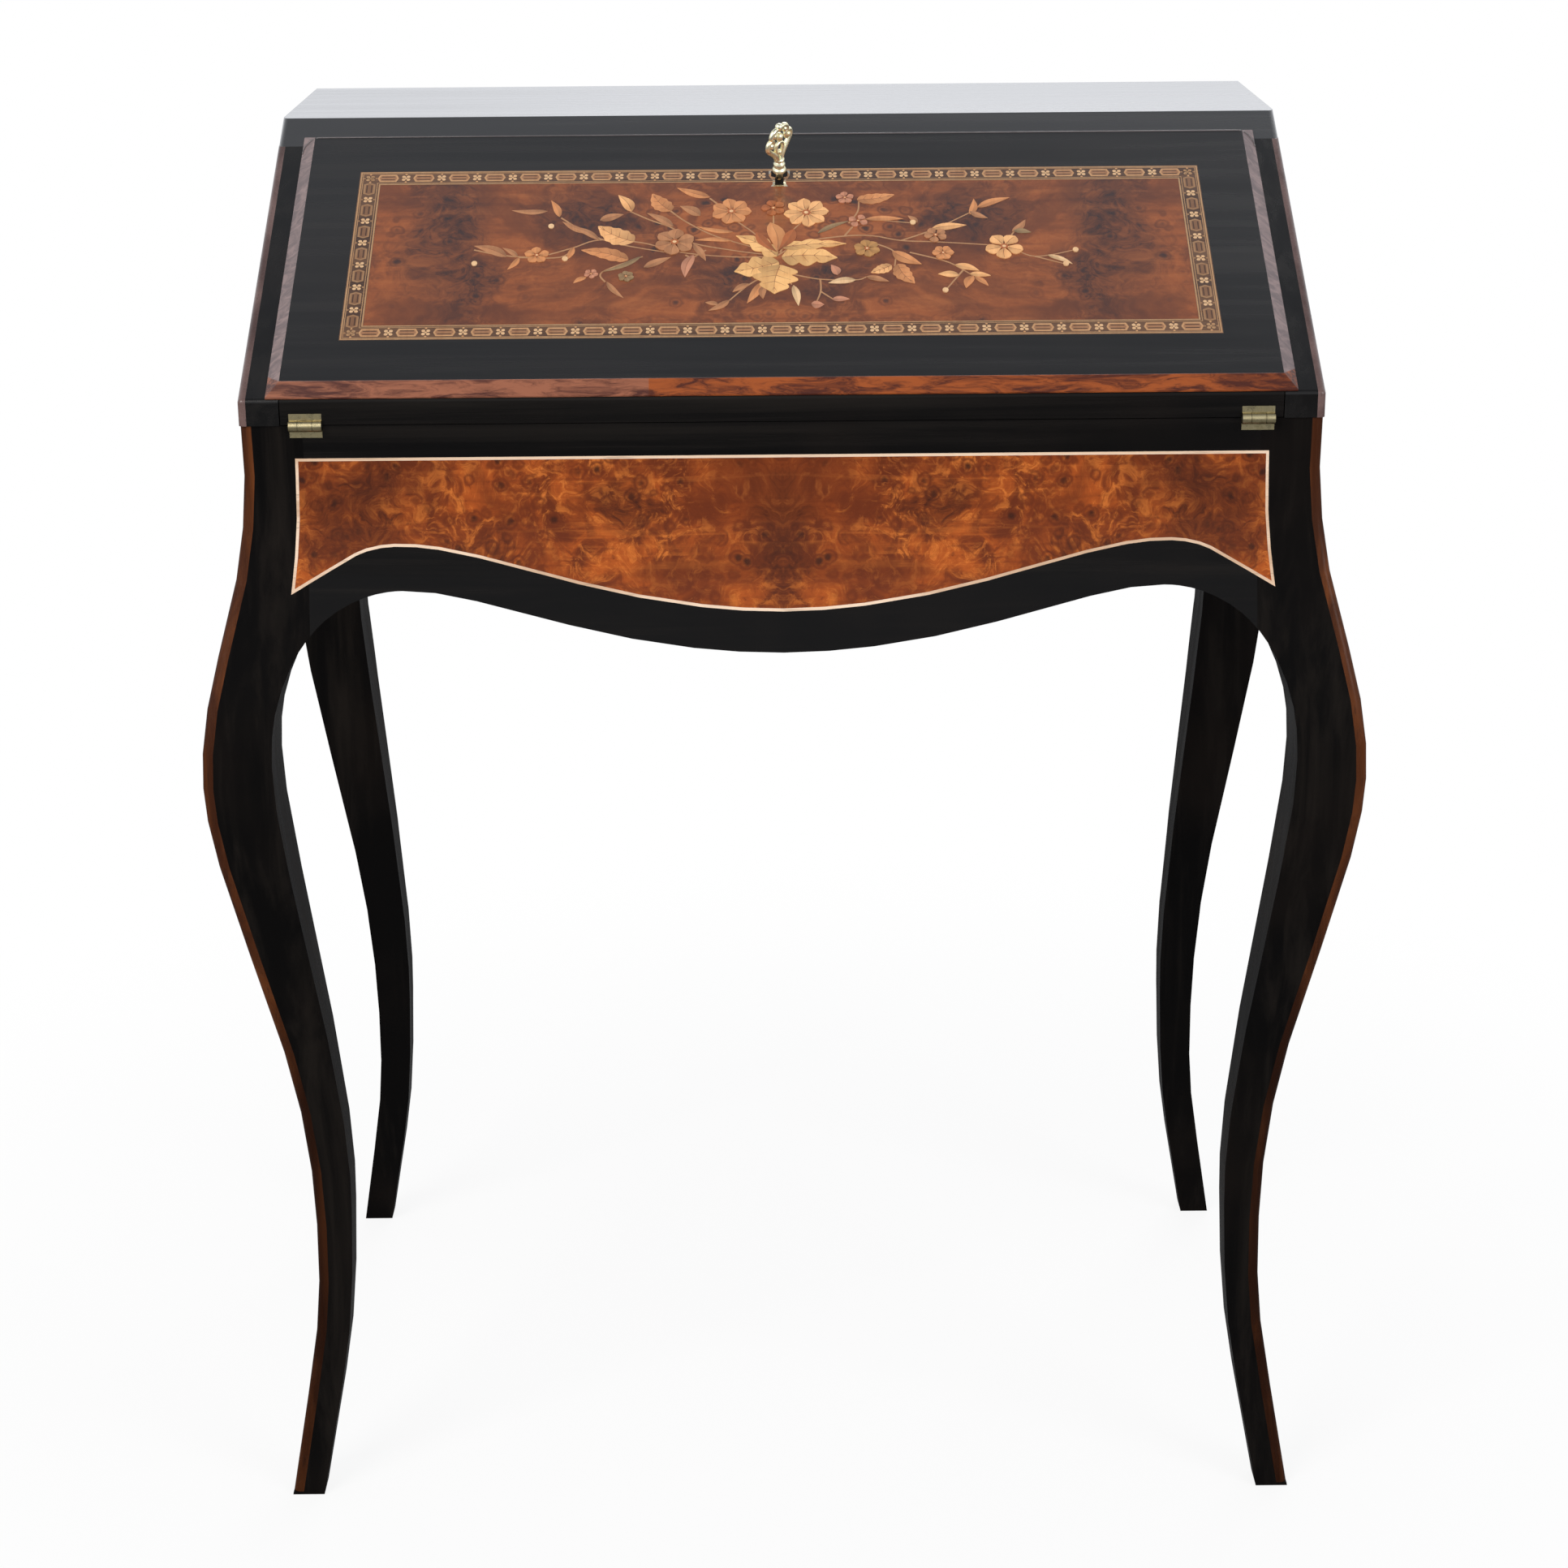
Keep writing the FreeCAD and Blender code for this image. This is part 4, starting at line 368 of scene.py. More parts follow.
FINISH = {
    "front_left_leg": EBONY_Z, "front_right_leg": EBONY_Z, "back_left_leg": EBONY_Z,
    "back_right_leg": EBONY_Z, "front_apron": EBONY_X, "back_apron": EBONY_X,
    "left_apron": EBONY_Y, "right_apron": EBONY_Y,
    "left_cheek": EBONY_CHEEK, "right_cheek": EBONY_CHEEK, "case_top": EBONY_TOP, "case_back": EBONY_X,
    "fall_raised_panel": EBONY_PANEL, "fall_board": EBONY_X, "leg_corner_strips": ROSEWOOD,
    "left_cheek_edging": EDGING, "right_cheek_edging": EDGING, "bevel_strips": BEVELS,
    "front_burl_panel": FRONT_BURL, "side_burl_panels": SIDE_BURL, "front_stringing": STRINGING,
    "side_stringings": BOXWOOD, "marquetry_field": GROUND_BURL, "marquetry_border": BAND,
    "writing_leather": HIDE, "keyhole_escutcheon": PALE_METAL, "key": GILT, "lock_bolt": STEEL,
    "hinge_pins": STEEL, "writing_bed": INTERIOR, "case_top_rail": INTERIOR, "gallery_shelf": INTERIOR,
    "drawer_dividers": INTERIOR_Z, "pigeonhole_dividers": INTERIOR_Z, "bed_cleats": CARCASE,
    "corner_blocks": CARCASE,
}


def finish_of(name):
    """The material of a CAD node; the ones not in FINISH are drawers and brass fittings."""
    if name.endswith("_drawer_front"):
        return INTERIOR
    if name.endswith("_drawer_box"):
        return CARCASE_Y
    return FINISH.get(name, BRASS)


for node_name, node in NODES.items():
    node.data.materials.clear()
    node.data.materials.append(finish_of(node_name))


def softened(node):
    """Shade the straight runs of a curved outline as one smooth face."""
    join = node.modifiers.new("join", "WELD")
    join.merge_threshold = 0.00001
    split = node.modifiers.new("arris", "EDGE_SPLIT")
    split.split_angle = math.radians(33)
    even = node.modifiers.new("even", "WEIGHTED_NORMAL")
    even.weight = 50


def eased(node, width):
    """Take the sharpness off straight arrises, so that they catch the light; width is in millimetres."""
    ease = node.modifiers.new("ease", "BEVEL")
    ease.width = width * MM
    ease.segments = 2
    ease.limit_method = "ANGLE"
    ease.angle_limit = math.radians(25)
    ease.harden_normals = True


for node_name in ("left_cheek", "right_cheek", "fall_raised_panel", "fall_board", "writing_bed",
                  "left_drawer_front", "centre_drawer_front", "right_drawer_front"):
    eased(NODES[node_name], 0.5)
for node_name, width in (("case_top", 1.0), ("bevel_strips", 0.35), ("gallery_shelf", 0.6)):
    eased(NODES[node_name], width)


CURVED = ("_leg", "_apron", "_strips", "_burl_panel", "_burl_panels", "_stringing", "_stringings")
for node_name, node in NODES.items():
    if node_name.endswith(CURVED):
        softened(node)


# Meshes

def mesh_piece(name, verts, faces, material, body, tones=None, smooth=False):
    """A piece of the desk from points in metres, riding on a body; tones give each point its wood."""
    data = bpy.data.meshes.new(name)
    data.from_pydata([tuple(v) for v in verts], [], faces)
    data.update()
    if tones:
        layer = data.color_attributes.new("tone", "FLOAT_COLOR", "POINT")
        for index, tone in enumerate(tones):
            layer.data[index].color = (*tone, 1.0)
    if smooth:
        data.polygons.foreach_set("use_smooth", [True] * len(data.polygons))
    piece = bpy.data.objects.new(name, data)
    bpy.context.scene.collection.objects.link(piece)
    data.materials.append(material)
    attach(piece, body)
    return piece


class Inlays:
    """Thin pieces of veneer gathered in one mesh, laid in the fall's face.

    Each piece is closed down to ROOT, and each one laid without a height stands STEP prouder
    than the one before it, all in millimetres.
    """

    ROOT = 7.35
    STEP = 0.0015

    def __init__(self):
        self.verts = []
        self.faces = []
        self.tones = []
        self.proud = 0.03

    def strip(self, rows, shades, tone, proud=None):
        """A closed sheet from rows of points (x, up) across it; shades scale the tone at each point."""
        out = PANEL_FACE + (self.proud if proud is None else proud)
        start = len(self.verts)
        wide = len(rows[0])
        for level in (out, self.ROOT):
            for row, row_shades in zip(rows, shades):
                for (x, up), shade in zip(row, row_shades):
                    self.verts.append(fall_point(x, up, level))
                    self.tones.append(tuple(c * shade for c in tone))
        count = len(rows) * wide
        for i in range(len(rows) - 1):
            for j in range(wide - 1):
                a = start + i * wide + j
                quad = (a, a + 1, a + wide + 1, a + wide)
                self.faces.append(quad)
                self.faces.append(tuple(q + count for q in reversed(quad)))
        rim = [start + j for j in range(wide)]
        rim += [start + i * wide + wide - 1 for i in range(1, len(rows))]
        rim += [start + (len(rows) - 1) * wide + j for j in range(wide - 2, -1, -1)]
        rim += [start + i * wide for i in range(len(rows) - 2, 0, -1)]
        for a, b in zip(rim, rim[1:] + rim[:1]):
            self.faces.append((b, a, a + count, b + count))
        if proud is None:
            self.proud += self.STEP

    def disc(self, x, up, radius, tone, sides=12, stretch=1.0, proud=None):
        """A round piece, drawn as a ring of points round a middle."""
        out = PANEL_FACE + (self.proud if proud is None else proud)
        start = len(self.verts)
        for level in (out, self.ROOT):
            for i in range(sides):
                angle = 2 * math.pi * i / sides
                rise = radius * stretch * math.sin(angle)
                self.verts.append(fall_point(x + radius * math.cos(angle), up + rise, level))
                self.tones.append(tone)
        self.faces.append(tuple(range(start, start + sides)))
        self.faces.append(tuple(range(start + 2 * sides - 1, start + sides - 1, -1)))
        for i in range(sides):
            j = (i + 1) % sides
            self.faces.append((start + j, start + i, start + sides + i, start + sides + j))

    def ribbon(self, points, width, tone, taper):
        """A narrow line through points, which tapers to a share of its width."""
        rows = []
        for i, (x, up) in enumerate(points):
            ahead = points[min(i + 1, len(points) - 1)]
            behind = points[max(i - 1, 0)]
            dx, dy = ahead[0] - behind[0], ahead[1] - behind[1]
            reach = math.hypot(dx, dy) or 1.0
            half = width / 2 * (1 + (taper - 1) * i / (len(points) - 1))
            side_x, side_up = dy / reach * half, dx / reach * half
            rows.append([(x + side_x, up - side_up), (x - side_x, up + side_up)])
        self.plain(rows, tone)

    def plain(self, rows, tone, proud=None):
        """A strip without shade, from pairs of points."""
        self.strip(rows, [[1.0, 1.0]] * len(rows), tone, proud)

    def bar(self, x0, x1, up0, up1, tone, proud):
        self.plain([[(x0, up0), (x1, up0)], [(x0, up1), (x1, up1)]], tone, proud)

    def build(self, name):
        mesh_piece(name, self.verts, self.faces, INLAY, "fall", self.tones)


CURVE_STEPS = 6


def curve_through(points):
    """A smooth line through points, with CURVE_STEPS steps from each to the next."""
    line = []
    last = len(points) - 1
    for i in range(last):
        near = (points[max(i - 1, 0)], points[i], points[i + 1], points[min(i + 2, last)])
        for k in range(CURVE_STEPS):
            t = k / CURVE_STEPS
            line.append(tuple(0.5 * (2 * b + (c - a) * t + (2 * a - 5 * b + 4 * c - d) * t * t
                                     + (3 * b - a - 3 * c + d) * t ** 3) for a, b, c, d in zip(*near)))
    line.append(points[-1])
    return line


# Colours of the veneers in the flowers, leaves and stems
TONES = {
    "gold": (1.0, 0.57, 0.22), "pale": (1.0, 0.53, 0.22), "orange": (0.76, 0.32, 0.12),
    "tan": (0.55, 0.25, 0.11), "rose": (0.66, 0.29, 0.17), "deep": (0.48, 0.14, 0.04),
    "ochre": (0.55, 0.28, 0.09), "green": (0.36, 0.23, 0.11), "cream": (0.92, 0.60, 0.32),
    "stem": (0.50, 0.26, 0.12), "vein": (0.33, 0.12, 0.045),
}

# Each leaf: its foot and tip (x and up the slope), widest width and wood, and a kind if it isn't plain
LEAVES = [
    (-149, 173, -172, 174, 5, "tan"), (-141, 167, -147, 184, 5, "orange"), (-123, 150, -139, 162, 5, "tan"),
    (-173, 127, -194, 138, 8, "tan"), (-165, 126, -172, 114, 4, "orange"), (-166, 127, -176, 136, 4, "tan"),
    (-131, 136, -135, 123, 4, "orange"), (-122, 106, -130, 100, 4, "orange"),
    (-93, 141, -116, 157, 17, "pale", "broad"), (-96, 123, -126, 133, 12, "orange", "broad"),
    (-115, 163, -100, 169, 7, "tan"), (-95, 172, -104, 189, 8, "pale"),
    (-70, 172, -82, 190, 13, "orange", "broad"), (-68, 156, -85, 170, 6, "tan"),
    (-45, 186, -66, 196, 7, "orange"), (-51, 167, -64, 177, 8, "tan"), (-30, 150, -53, 156, 4, "orange"),
    (-30, 141, -54, 142, 4, "orange"), (-55, 138, -47, 121, 5, "tan"), (-55, 127, -60, 105, 7, "rose"),
    (-88, 126, -112, 111, 4, "green"), (-109, 101, -98, 85, 4, "tan"), (-86, 115, -69, 125, 6, "tan"),
    (-115, 143, -135, 157, 5, "tan"), (24, 148, 44, 160, 4, "green"),
    (50, 182, 74, 187, 11, "orange", "broad"), (55, 162, 79, 162, 5, "orange"),
    (122, 166, 125, 182, 5, "orange"), (127, 173, 148, 183, 6, "orange"), (122, 169, 133, 162, 5, "tan"),
    (97, 152, 119, 155, 7, "pale"), (148, 148, 157, 160, 5, "tan"), (149, 149, 160, 147, 5, "green"),
    (71, 129, 89, 116, 9, "orange"), (70, 115, 57, 108, 9, "pale", "broad"),
    (74, 116, 84, 97, 12, "orange", "broad"), (110, 115, 125, 109, 6, "pale"),
    (112, 105, 99, 106, 6, "pale"), (119, 106, 132, 104, 5, "pale"), (121, 104, 116, 92, 6, "orange"),
    (122, 103, 130, 94, 4, "orange"), (-20, 98, -30, 90, 5, "tan"), (-12, 99, -21, 79, 6, "orange"),
    (-10, 96, -11, 83, 5, "tan"), (-32, 82, -45, 72, 5, "tan"), (-39, 78, -47, 80, 4, "tan"),
    (8, 96, 11, 76, 5, "cream"), (19, 78, 27, 77, 7, "rose"), (32, 82, 43, 82, 5, "rose"),
    (47, 101, 30, 98, 6, "cream"), (54, 104, 68, 99, 5, "tan"), (36, 106, 32, 116, 6, "rose"),
    (169, 124, 184, 115, 4, "cream"), (88, 158, 82, 165, 4, "tan"),
    (-1, 119, -29, 110, 23, "gold", "lobed"), (-2, 125, -28, 146, 15, "gold", "lobed"),
    (1, 124, 36, 123, 22, "gold", "lobed"), (0, 116, -4, 88, 30, "gold", "lobed"),
    (1, 134, 42, 137, 11, "gold", "lobed"), (-2, 129, -6, 159, 11, "orange", "petal"),
    (-2, 129, -15, 149, 7, "deep", "petal"), (-1, 131, 9, 152, 8, "deep", "petal"),
]
# Each flower: its middle, radius, number of petals and wood
FLOWERS = [
    (-154, 128, 8.0, 5, "orange"), (-119, 109, 4.6, 5, "rose"), (-31, 171, 13.0, 7, "orange"),
    (17, 169, 14.5, 8, "pale"), (-4, 174, 8.0, 5, "deep"), (55, 132, 8.5, 6, "ochre"),
    (99, 145, 7.5, 5, "tan"), (103, 127, 7.0, 6, "orange"), (142, 133, 12.5, 5, "pale"),
    (42, 184, 6.0, 5, "rose"), (50, 160, 6.5, 4, "rose"), (-97, 106, 5.2, 6, "green"),
    (-67, 140, 13.0, 6, "tan"),
]
BUDS = [(-136, 124), (85, 158), (103, 90), (187, 129), (180, 115), (-146, 157), (-193, 120)]
# Each stem: points along it
STEMS = [
    [(-194, 134), (-174, 128), (-153, 127), (-132, 135), (-115, 143), (-88, 140), (-63, 130), (-31, 125),
     (-3, 125)],
    [(-165, 126), (-139, 126), (-131, 136)], [(-140, 166), (-123, 150), (-103, 139), (-72, 130)],
    [(-110, 101), (-112, 111), (-87, 126)],
    [(-96, 172), (-83, 163), (-68, 154), (-57, 140), (-28, 131), (-3, 126)],
    [(-45, 185), (-36, 174), (-29, 163), (-16, 148), (-4, 130)],
    [(-70, 172), (-59, 160), (-41, 146), (-16, 134)],
    [(-3, 125), (15, 139), (41, 145), (59, 145), (77, 140), (103, 138), (142, 133), (161, 123), (186, 129)],
    [(161, 123), (180, 115)], [(41, 145), (50, 160), (55, 162), (83, 158)], [(0, 129), (7, 149), (16, 162)],
    [(-3, 134), (-4, 156), (-4, 171)], [(44, 158), (50, 170), (51, 182)],
    [(77, 140), (98, 151), (122, 168)], [(142, 133), (149, 148), (156, 159)],
    [(59, 138), (72, 129), (72, 114)], [(82, 128), (102, 120), (111, 114), (121, 104)],
    [(115, 110), (103, 90)], [(-3, 115), (-12, 99)], [(-8, 107), (-20, 97), (-32, 82)], [(0, 112), (7, 97)],
    [(8, 107), (25, 102), (47, 101), (54, 104)], [(25, 102), (25, 90), (22, 79)], [(25, 90), (33, 82)],
    [(-60, 127), (-55, 125), (-47, 132)],
]


def half_width(kind, t):
    """Half a leaf's width along it, as a share of its widest half."""
    if kind == "leaf":
        return math.sin(math.pi * t ** 0.75) ** 0.9
    if kind == "petal":
        return math.sin(math.pi * t ** 1.5) ** 0.7
    notch = abs(math.sin(math.pi * (4.5 if kind == "broad" else 3.2) * t))
    body = math.sin(math.pi * t ** 0.7) ** 0.75
    return body * ((0.82 + 0.18 * notch) if kind == "broad" else (0.62 + 0.38 * notch))


def add_leaf(inlays, kind, base, tip, width, tone, bend):
    """One leaf or petal in two halves along its midrib, a light one and a dim one, with veins."""
    dx, dy = tip[0] - base[0], tip[1] - base[1]
    reach = math.hypot(dx, dy)
    steps = {"leaf": 9, "petal": 8}.get(kind, 19)
    left, right, spine = [], [], []
    for i in range(steps + 1):
        t = i / steps
        sway = bend * reach * math.sin(math.pi * t)
        x = base[0] + dx * t - dy / reach * sway
        up = base[1] + dy * t + dx / reach * sway
        half = width / 2 * max(half_width(kind, min(max(t, 0.004), 0.996)), 0.03)
        side = (-dy / reach * half, dx / reach * half)
        spine.append((x, up))
        left.append((x + side[0], up + side[1]))
        right.append((x - side[0], up - side[1]))
    colour = TONES[tone]
    light = [[0.78 + 0.24 * min(1, 2.2 * i / steps)] * 2 for i in range(steps + 1)]
    dim = [[0.5 + 0.34 * min(1, 2.0 * i / steps)] * 2 for i in range(steps + 1)]
    inlays.strip([[a, b] for a, b in zip(spine, left)], light, colour)
    inlays.strip([[a, b] for a, b in zip(right, spine)], dim, colour)
    if width >= 7:
        inlays.ribbon(spine[1:-1], 0.5, TONES["vein"], 0.4)
    if kind in ("broad", "lobed"):
        for i in range(3, steps - 2, 4):
            for edge in (left, right):
                target = edge[min(i + 3, steps)]
                middle = spine[i]
                end = tuple(m + 0.75 * (t - m) for m, t in zip(middle, target))
                inlays.ribbon([middle, end], 0.4, TONES["vein"], 0.3)


def add_flower(inlays, x, up, radius, petals, tone, turn):
    """A flower: petals round a dark eye with a cream middle."""
    for i in range(petals):
        angle = turn + 2 * math.pi * i / petals
        base = (x + 0.12 * radius * math.cos(angle), up + 0.12 * radius * math.sin(angle))
        tip = (x + radius * math.cos(angle), up + radius * math.sin(angle))
        wide = min(radius * 0.78, 2.5 * math.pi * radius / petals * 0.62)
        add_leaf(inlays, "petal", base, tip, wide, tone, 0.05 if i % 2 else -0.05)
    inlays.disc(x, up, radius * 0.2, TONES["deep"])
    inlays.disc(x, up, radius * 0.1, TONES["cream"], 8, proud=inlays.proud + 0.003)


LEAF_BENDS = (0.06, -0.05, 0.03, -0.08)
flora = Inlays()
for stem in STEMS:
    flora.ribbon(curve_through(stem), 1.25, TONES["stem"], 0.7)
for index, leaf in enumerate(LEAVES):
    x0, up0, x1, up1, width, tone, kind = (*leaf, "leaf")[:7]
    add_leaf(flora, kind, (x0, up0), (x1, up1), width, tone, LEAF_BENDS[index % 4])
for index, (x, up, radius, petals, tone) in enumerate(FLOWERS):
    add_flower(flora, x, up, radius, petals, tone, 0.35 + 0.7 * index)
for x, up in BUDS:
    flora.disc(x, up, 1.9, TONES["cream"], 10, 1.2, proud=flora.proud)
flora.build("floral_marquetry")


# Border of links and rosettes, in millimetres
LINK_GAP, LINK_SLANT, LINK_HALF = 4.6, 1.6, 3.7
LINK_WALL, HOLE_SLANT, HOLE_HALF = 1.3, 1.0, 2.5
GROOVE_RISE, GROOVE_INSET, GROOVE_HALF = 1.5, 2.6, 0.4
PETAL_REACH, PETAL_RADIUS, EYE_RADIUS = 2.15, 1.25, 0.85
DOT_RISE, DOT_RADIUS = 3.9, 0.8
LINK_WOOD, HOLE_WOOD, GROOVE_WOOD = (0.58, 0.32, 0.15), (0.37, 0.18, 0.085), (0.07, 0.028, 0.013)
ROSETTE_WOOD = (0.78, 0.50, 0.27)
LINE_WOOD = (0.50, 0.29, 0.14)


def border_run(band, start, end, across, count, shade=1.0):
    """Links and rosettes along one side of the border, between two corners."""
    sx, su = start
    dx, dy = end[0] - start[0], end[1] - start[1]
    reach = math.hypot(dx, dy)
    dx, dy = dx / reach, dy / reach
    pitch = reach / count
    link_wood = tuple(c * shade for c in LINK_WOOD)
    hole_wood = tuple(c * shade for c in HOLE_WOOD)

    def at(along, side):
        return (sx + dx * along + across[0] * side, su + dy * along + across[1] * side)

    def hexagon(low, high, slant, half):
        return [at(low, 0), at(low + slant, half), at(high - slant, half), at(high, 0),
                at(high - slant, -half), at(low + slant, -half)]

    for i in range(count):
        low = pitch * i + LINK_GAP
        high = pitch * (i + 1) - LINK_GAP
        outer = hexagon(low, high, LINK_SLANT, LINK_HALF)
        inner = hexagon(low + LINK_WALL, high - LINK_WALL, HOLE_SLANT, HOLE_HALF)
        band.plain([[inner[0], inner[0]], [inner[1], inner[5]], [inner[2], inner[4]], [inner[3], inner[3]]],
                   hole_wood, proud=0.035)
        ring = [[a, b] for a, b in zip(outer + outer[:1], inner + inner[:1])]
        for first, second in zip(ring, ring[1:]):
            band.plain([first, second], link_wood, proud=0.04)
        for rise in (-GROOVE_RISE, GROOVE_RISE):
            band.plain([[at(along, rise - GROOVE_HALF), at(along, rise + GROOVE_HALF)]
                        for along in (low + GROOVE_INSET, high - GROOVE_INSET)], GROOVE_WOOD, proud=0.045)
    for i in range(count + 1):
        centre = at(pitch * i, 0)
        for k in range(4):
            angle = math.pi / 4 + k * math.pi / 2
            band.disc(centre[0] + PETAL_REACH * math.cos(angle), centre[1] + PETAL_REACH * math.sin(angle),
                      PETAL_RADIUS, ROSETTE_WOOD, 8, proud=0.05)
        band.disc(*centre, EYE_RADIUS, ROSETTE_WOOD, 6, proud=0.052)
        for side in (-1, 1):
            band.disc(*at(pitch * i, side * DOT_RISE), DOT_RADIUS, link_wood, 6, proud=0.05)


band = Inlays()
X_OUT = FIELD_X + BORDER
LOW_OUT, HIGH_OUT = FIELD_LOW - BORDER, FIELD_HIGH + BORDER
for inset, wide in ((0.5, 1.0), (2.0, 0.45), (11.6, 0.45), (12.9, 0.9)):
    x_in, x_far = X_OUT - inset, X_OUT - inset - wide
    low_in, high_in = LOW_OUT + inset, HIGH_OUT - inset
    for low, high in ((low_in, low_in + wide), (high_in - wide, high_in)):
        band.bar(-x_in, x_in, low, high, LINE_WOOD, proud=0.03)
    for x0, x1 in ((-x_in, -x_far), (x_far, x_in)):
        band.bar(x0, x1, low_in, high_in, LINE_WOOD, proud=0.031)
MID = BORDER / 2
for up in (LOW_OUT + MID, HIGH_OUT - MID):
    border_run(band, (-X_OUT + MID, up), (X_OUT - MID, up), (0, 1), count=23)
for x in (-X_OUT + MID, X_OUT - MID):
    border_run(band, (x, LOW_OUT + MID), (x, HIGH_OUT - MID), (1, 0), count=7, shade=0.62)
band.build("border_marquetry")


def frame_along(points):
    """Directions across a line of points, turned as little as possible from one point to the next."""
    frames = []
    normal = None
    for i, point in enumerate(points):
        ahead = points[min(i + 1, len(points) - 1)]
        behind = points[max(i - 1, 0)]
        along = (ahead - behind).normalized()
        if normal is None:
            normal = along.orthogonal().normalized()
        normal = (normal - along * normal.dot(along)).normalized()
        frames.append((normal, along.cross(normal)))
    return frames


class Casting:
    """Rods, beads and turned pieces gathered in one mesh."""

    def __init__(self):
        self.verts = []
        self.faces = []

    def rod(self, points, radii, sides, frames=None):
        """A rod along points in metres, with a radius at each."""
        start = len(self.verts)
        for point, radius, (first, second) in zip(points, radii, frames or frame_along(points)):
            for i in range(sides):
                angle = 2 * math.pi * i / sides
                self.verts.append(point + (first * math.cos(angle) + second * math.sin(angle)) * radius)
        for ring in range(len(points) - 1):
            for i in range(sides):
                j = (i + 1) % sides
                a = start + ring * sides
                self.faces.append((a + i, a + j, a + sides + j, a + sides + i))
        self.faces.append(tuple(start + i for i in reversed(range(sides))))
        last = start + (len(points) - 1) * sides
        self.faces.append(tuple(last + i for i in range(sides)))

    def turned(self, foot, axis, profile, sides):
        """A turned piece from (height, radius) pairs along an axis."""
        points = [foot + axis * height for height, _ in profile]
        first = axis.orthogonal().normalized()
        frames = [(first, axis.cross(first))] * len(points)
        self.rod(points, [max(radius, 0.00002) for _, radius in profile], sides, frames)

    def bead(self, centre, radius, axis, sides=12):
        """A ball."""
        rings = 8
        angles = [math.pi * i / rings for i in range(rings + 1)]
        self.turned(centre, axis, [(-radius * math.cos(a), radius * math.sin(a)) for a in angles], sides)


# The key, cast in gilt metal with a pierced bow, which stands at an angle when the lock is shut
KEY_BOW = math.radians(52)

# Heights and radii of its shank with a collar, and of the button under its bow, in metres
KEY_TURNING = [
    (-0.0125, 0.0), (-0.0125, 0.0023), (0.0047, 0.0023), (0.0049, 0.0034), (0.0056, 0.0044),
    (0.0068, 0.0046), (0.0078, 0.0042), (0.0085, 0.0033), (0.0092, 0.0030), (0.0098, 0.0037),
    (0.0108, 0.0040), (0.0118, 0.0037), (0.0126, 0.0029), (0.0138, 0.0026), (0.0138, 0.0),
]
KEY_BUTTON = [(0, 0.0024), (0.0012, 0.0036), (0.0024, 0.0033), (0.0034, 0.0018), (0.0036, 0.0)]
BUTTON_OUT = 12.8

# One side of the bow: points across it and out of the panel's face, in millimetres
STEM_SCROLL = [(0, 13.0), (1.8, 15.6), (3.9, 19.2), (6.6, 22.4), (9.8, 25.6), (11.9, 28.8), (10.8, 32.2),
               (7.8, 33.2), (6.0, 31.0), (7.2, 28.6), (8.7, 29.6)]
UPPER_SCROLL = [(7.8, 33.0), (8.2, 35.4), (6.0, 38.2), (2.8, 39.0), (0, 37.4)]
INNER_SCROLL = [(1.2, 15.4), (2.4, 19.6), (3.6, 23.6), (2.6, 26.6), (0, 28.0)]

# Beads of the bow: place across it and out, then radius in metres; in the middle: place out, radius, sides
SIDE_BEADS = [(8.8, 29.8, 0.0023), (5.4, 35.6, 0.0021), (5.4, 21.4, 0.0017)]
MIDDLE_BEADS = [(32.4, 0.0028, 16), (39.7, 0.0026, 16), (20.4, 0.0019, 12)]

# The bit inside the lock, in millimetres
BIT_HALF, BIT_DROP = 1.2, 7.0
BIT_OUT = (-12.2, -8.8)


def key_point(across, up, out):
    """A point of the key at rest: across its bow, along the bow's other way and out of the panel's face."""
    x = across * math.cos(KEY_BOW) - up * math.sin(KEY_BOW)
    rise = across * math.sin(KEY_BOW) + up * math.cos(KEY_BOW)
    return fall_point(x, KEY_UP + rise, PANEL_FACE + out)


def key_line(side, scroll):
    """A smooth line on one side of the key's bow, in metres."""
    points = curve_through([(side * across, 0, out) for across, out in scroll])
    return [key_point(across, up, out) for across, up, out in points]


def make_key():
    """Shank, collar, scrolled bow with beads, and bit."""
    cast = Casting()
    axis = OUT_SLOPE
    cast.turned(key_point(0, 0, 0), axis, KEY_TURNING, 24)
    for side in (-1, 1):
        line = key_line(side, STEM_SCROLL)
        cast.rod(line, [MM * (2.1 - 0.9 * i / len(line)) for i in range(len(line))], 10)
        line = key_line(side, UPPER_SCROLL)
        cast.rod(line, [MM * (1.75 - 0.3 * abs(2 * i / len(line) - 1)) for i in range(len(line))], 10)
        line = key_line(side, INNER_SCROLL)
        cast.rod(line, [MM * 1.35] * len(line), 8)
        for across, out, radius in SIDE_BEADS:
            cast.bead(key_point(side * across, 0, out), radius, axis)
    for out, radius, sides in MIDDLE_BEADS:
        cast.bead(key_point(0, 0, out), radius, axis, sides)
    cast.turned(key_point(0, 0, BUTTON_OUT), axis, KEY_BUTTON, 18)
    start = len(cast.verts)
    for out in BIT_OUT:
        for x, up in ((-BIT_HALF, -BIT_DROP), (BIT_HALF, -BIT_DROP), (BIT_HALF, 0.0), (-BIT_HALF, 0.0)):
            cast.verts.append(fall_point(x, KEY_UP + up, out))
    cast.faces += [tuple(start + i for i in face) for face in
                   ((3, 2, 1, 0), (4, 5, 6, 7), (0, 1, 5, 4), (1, 2, 6, 5), (2, 3, 7, 6), (3, 0, 4, 7))]
    piece = mesh_piece("gilt_key", cast.verts, cast.faces, GILT, "key", smooth=True)
    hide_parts("key")


make_key()

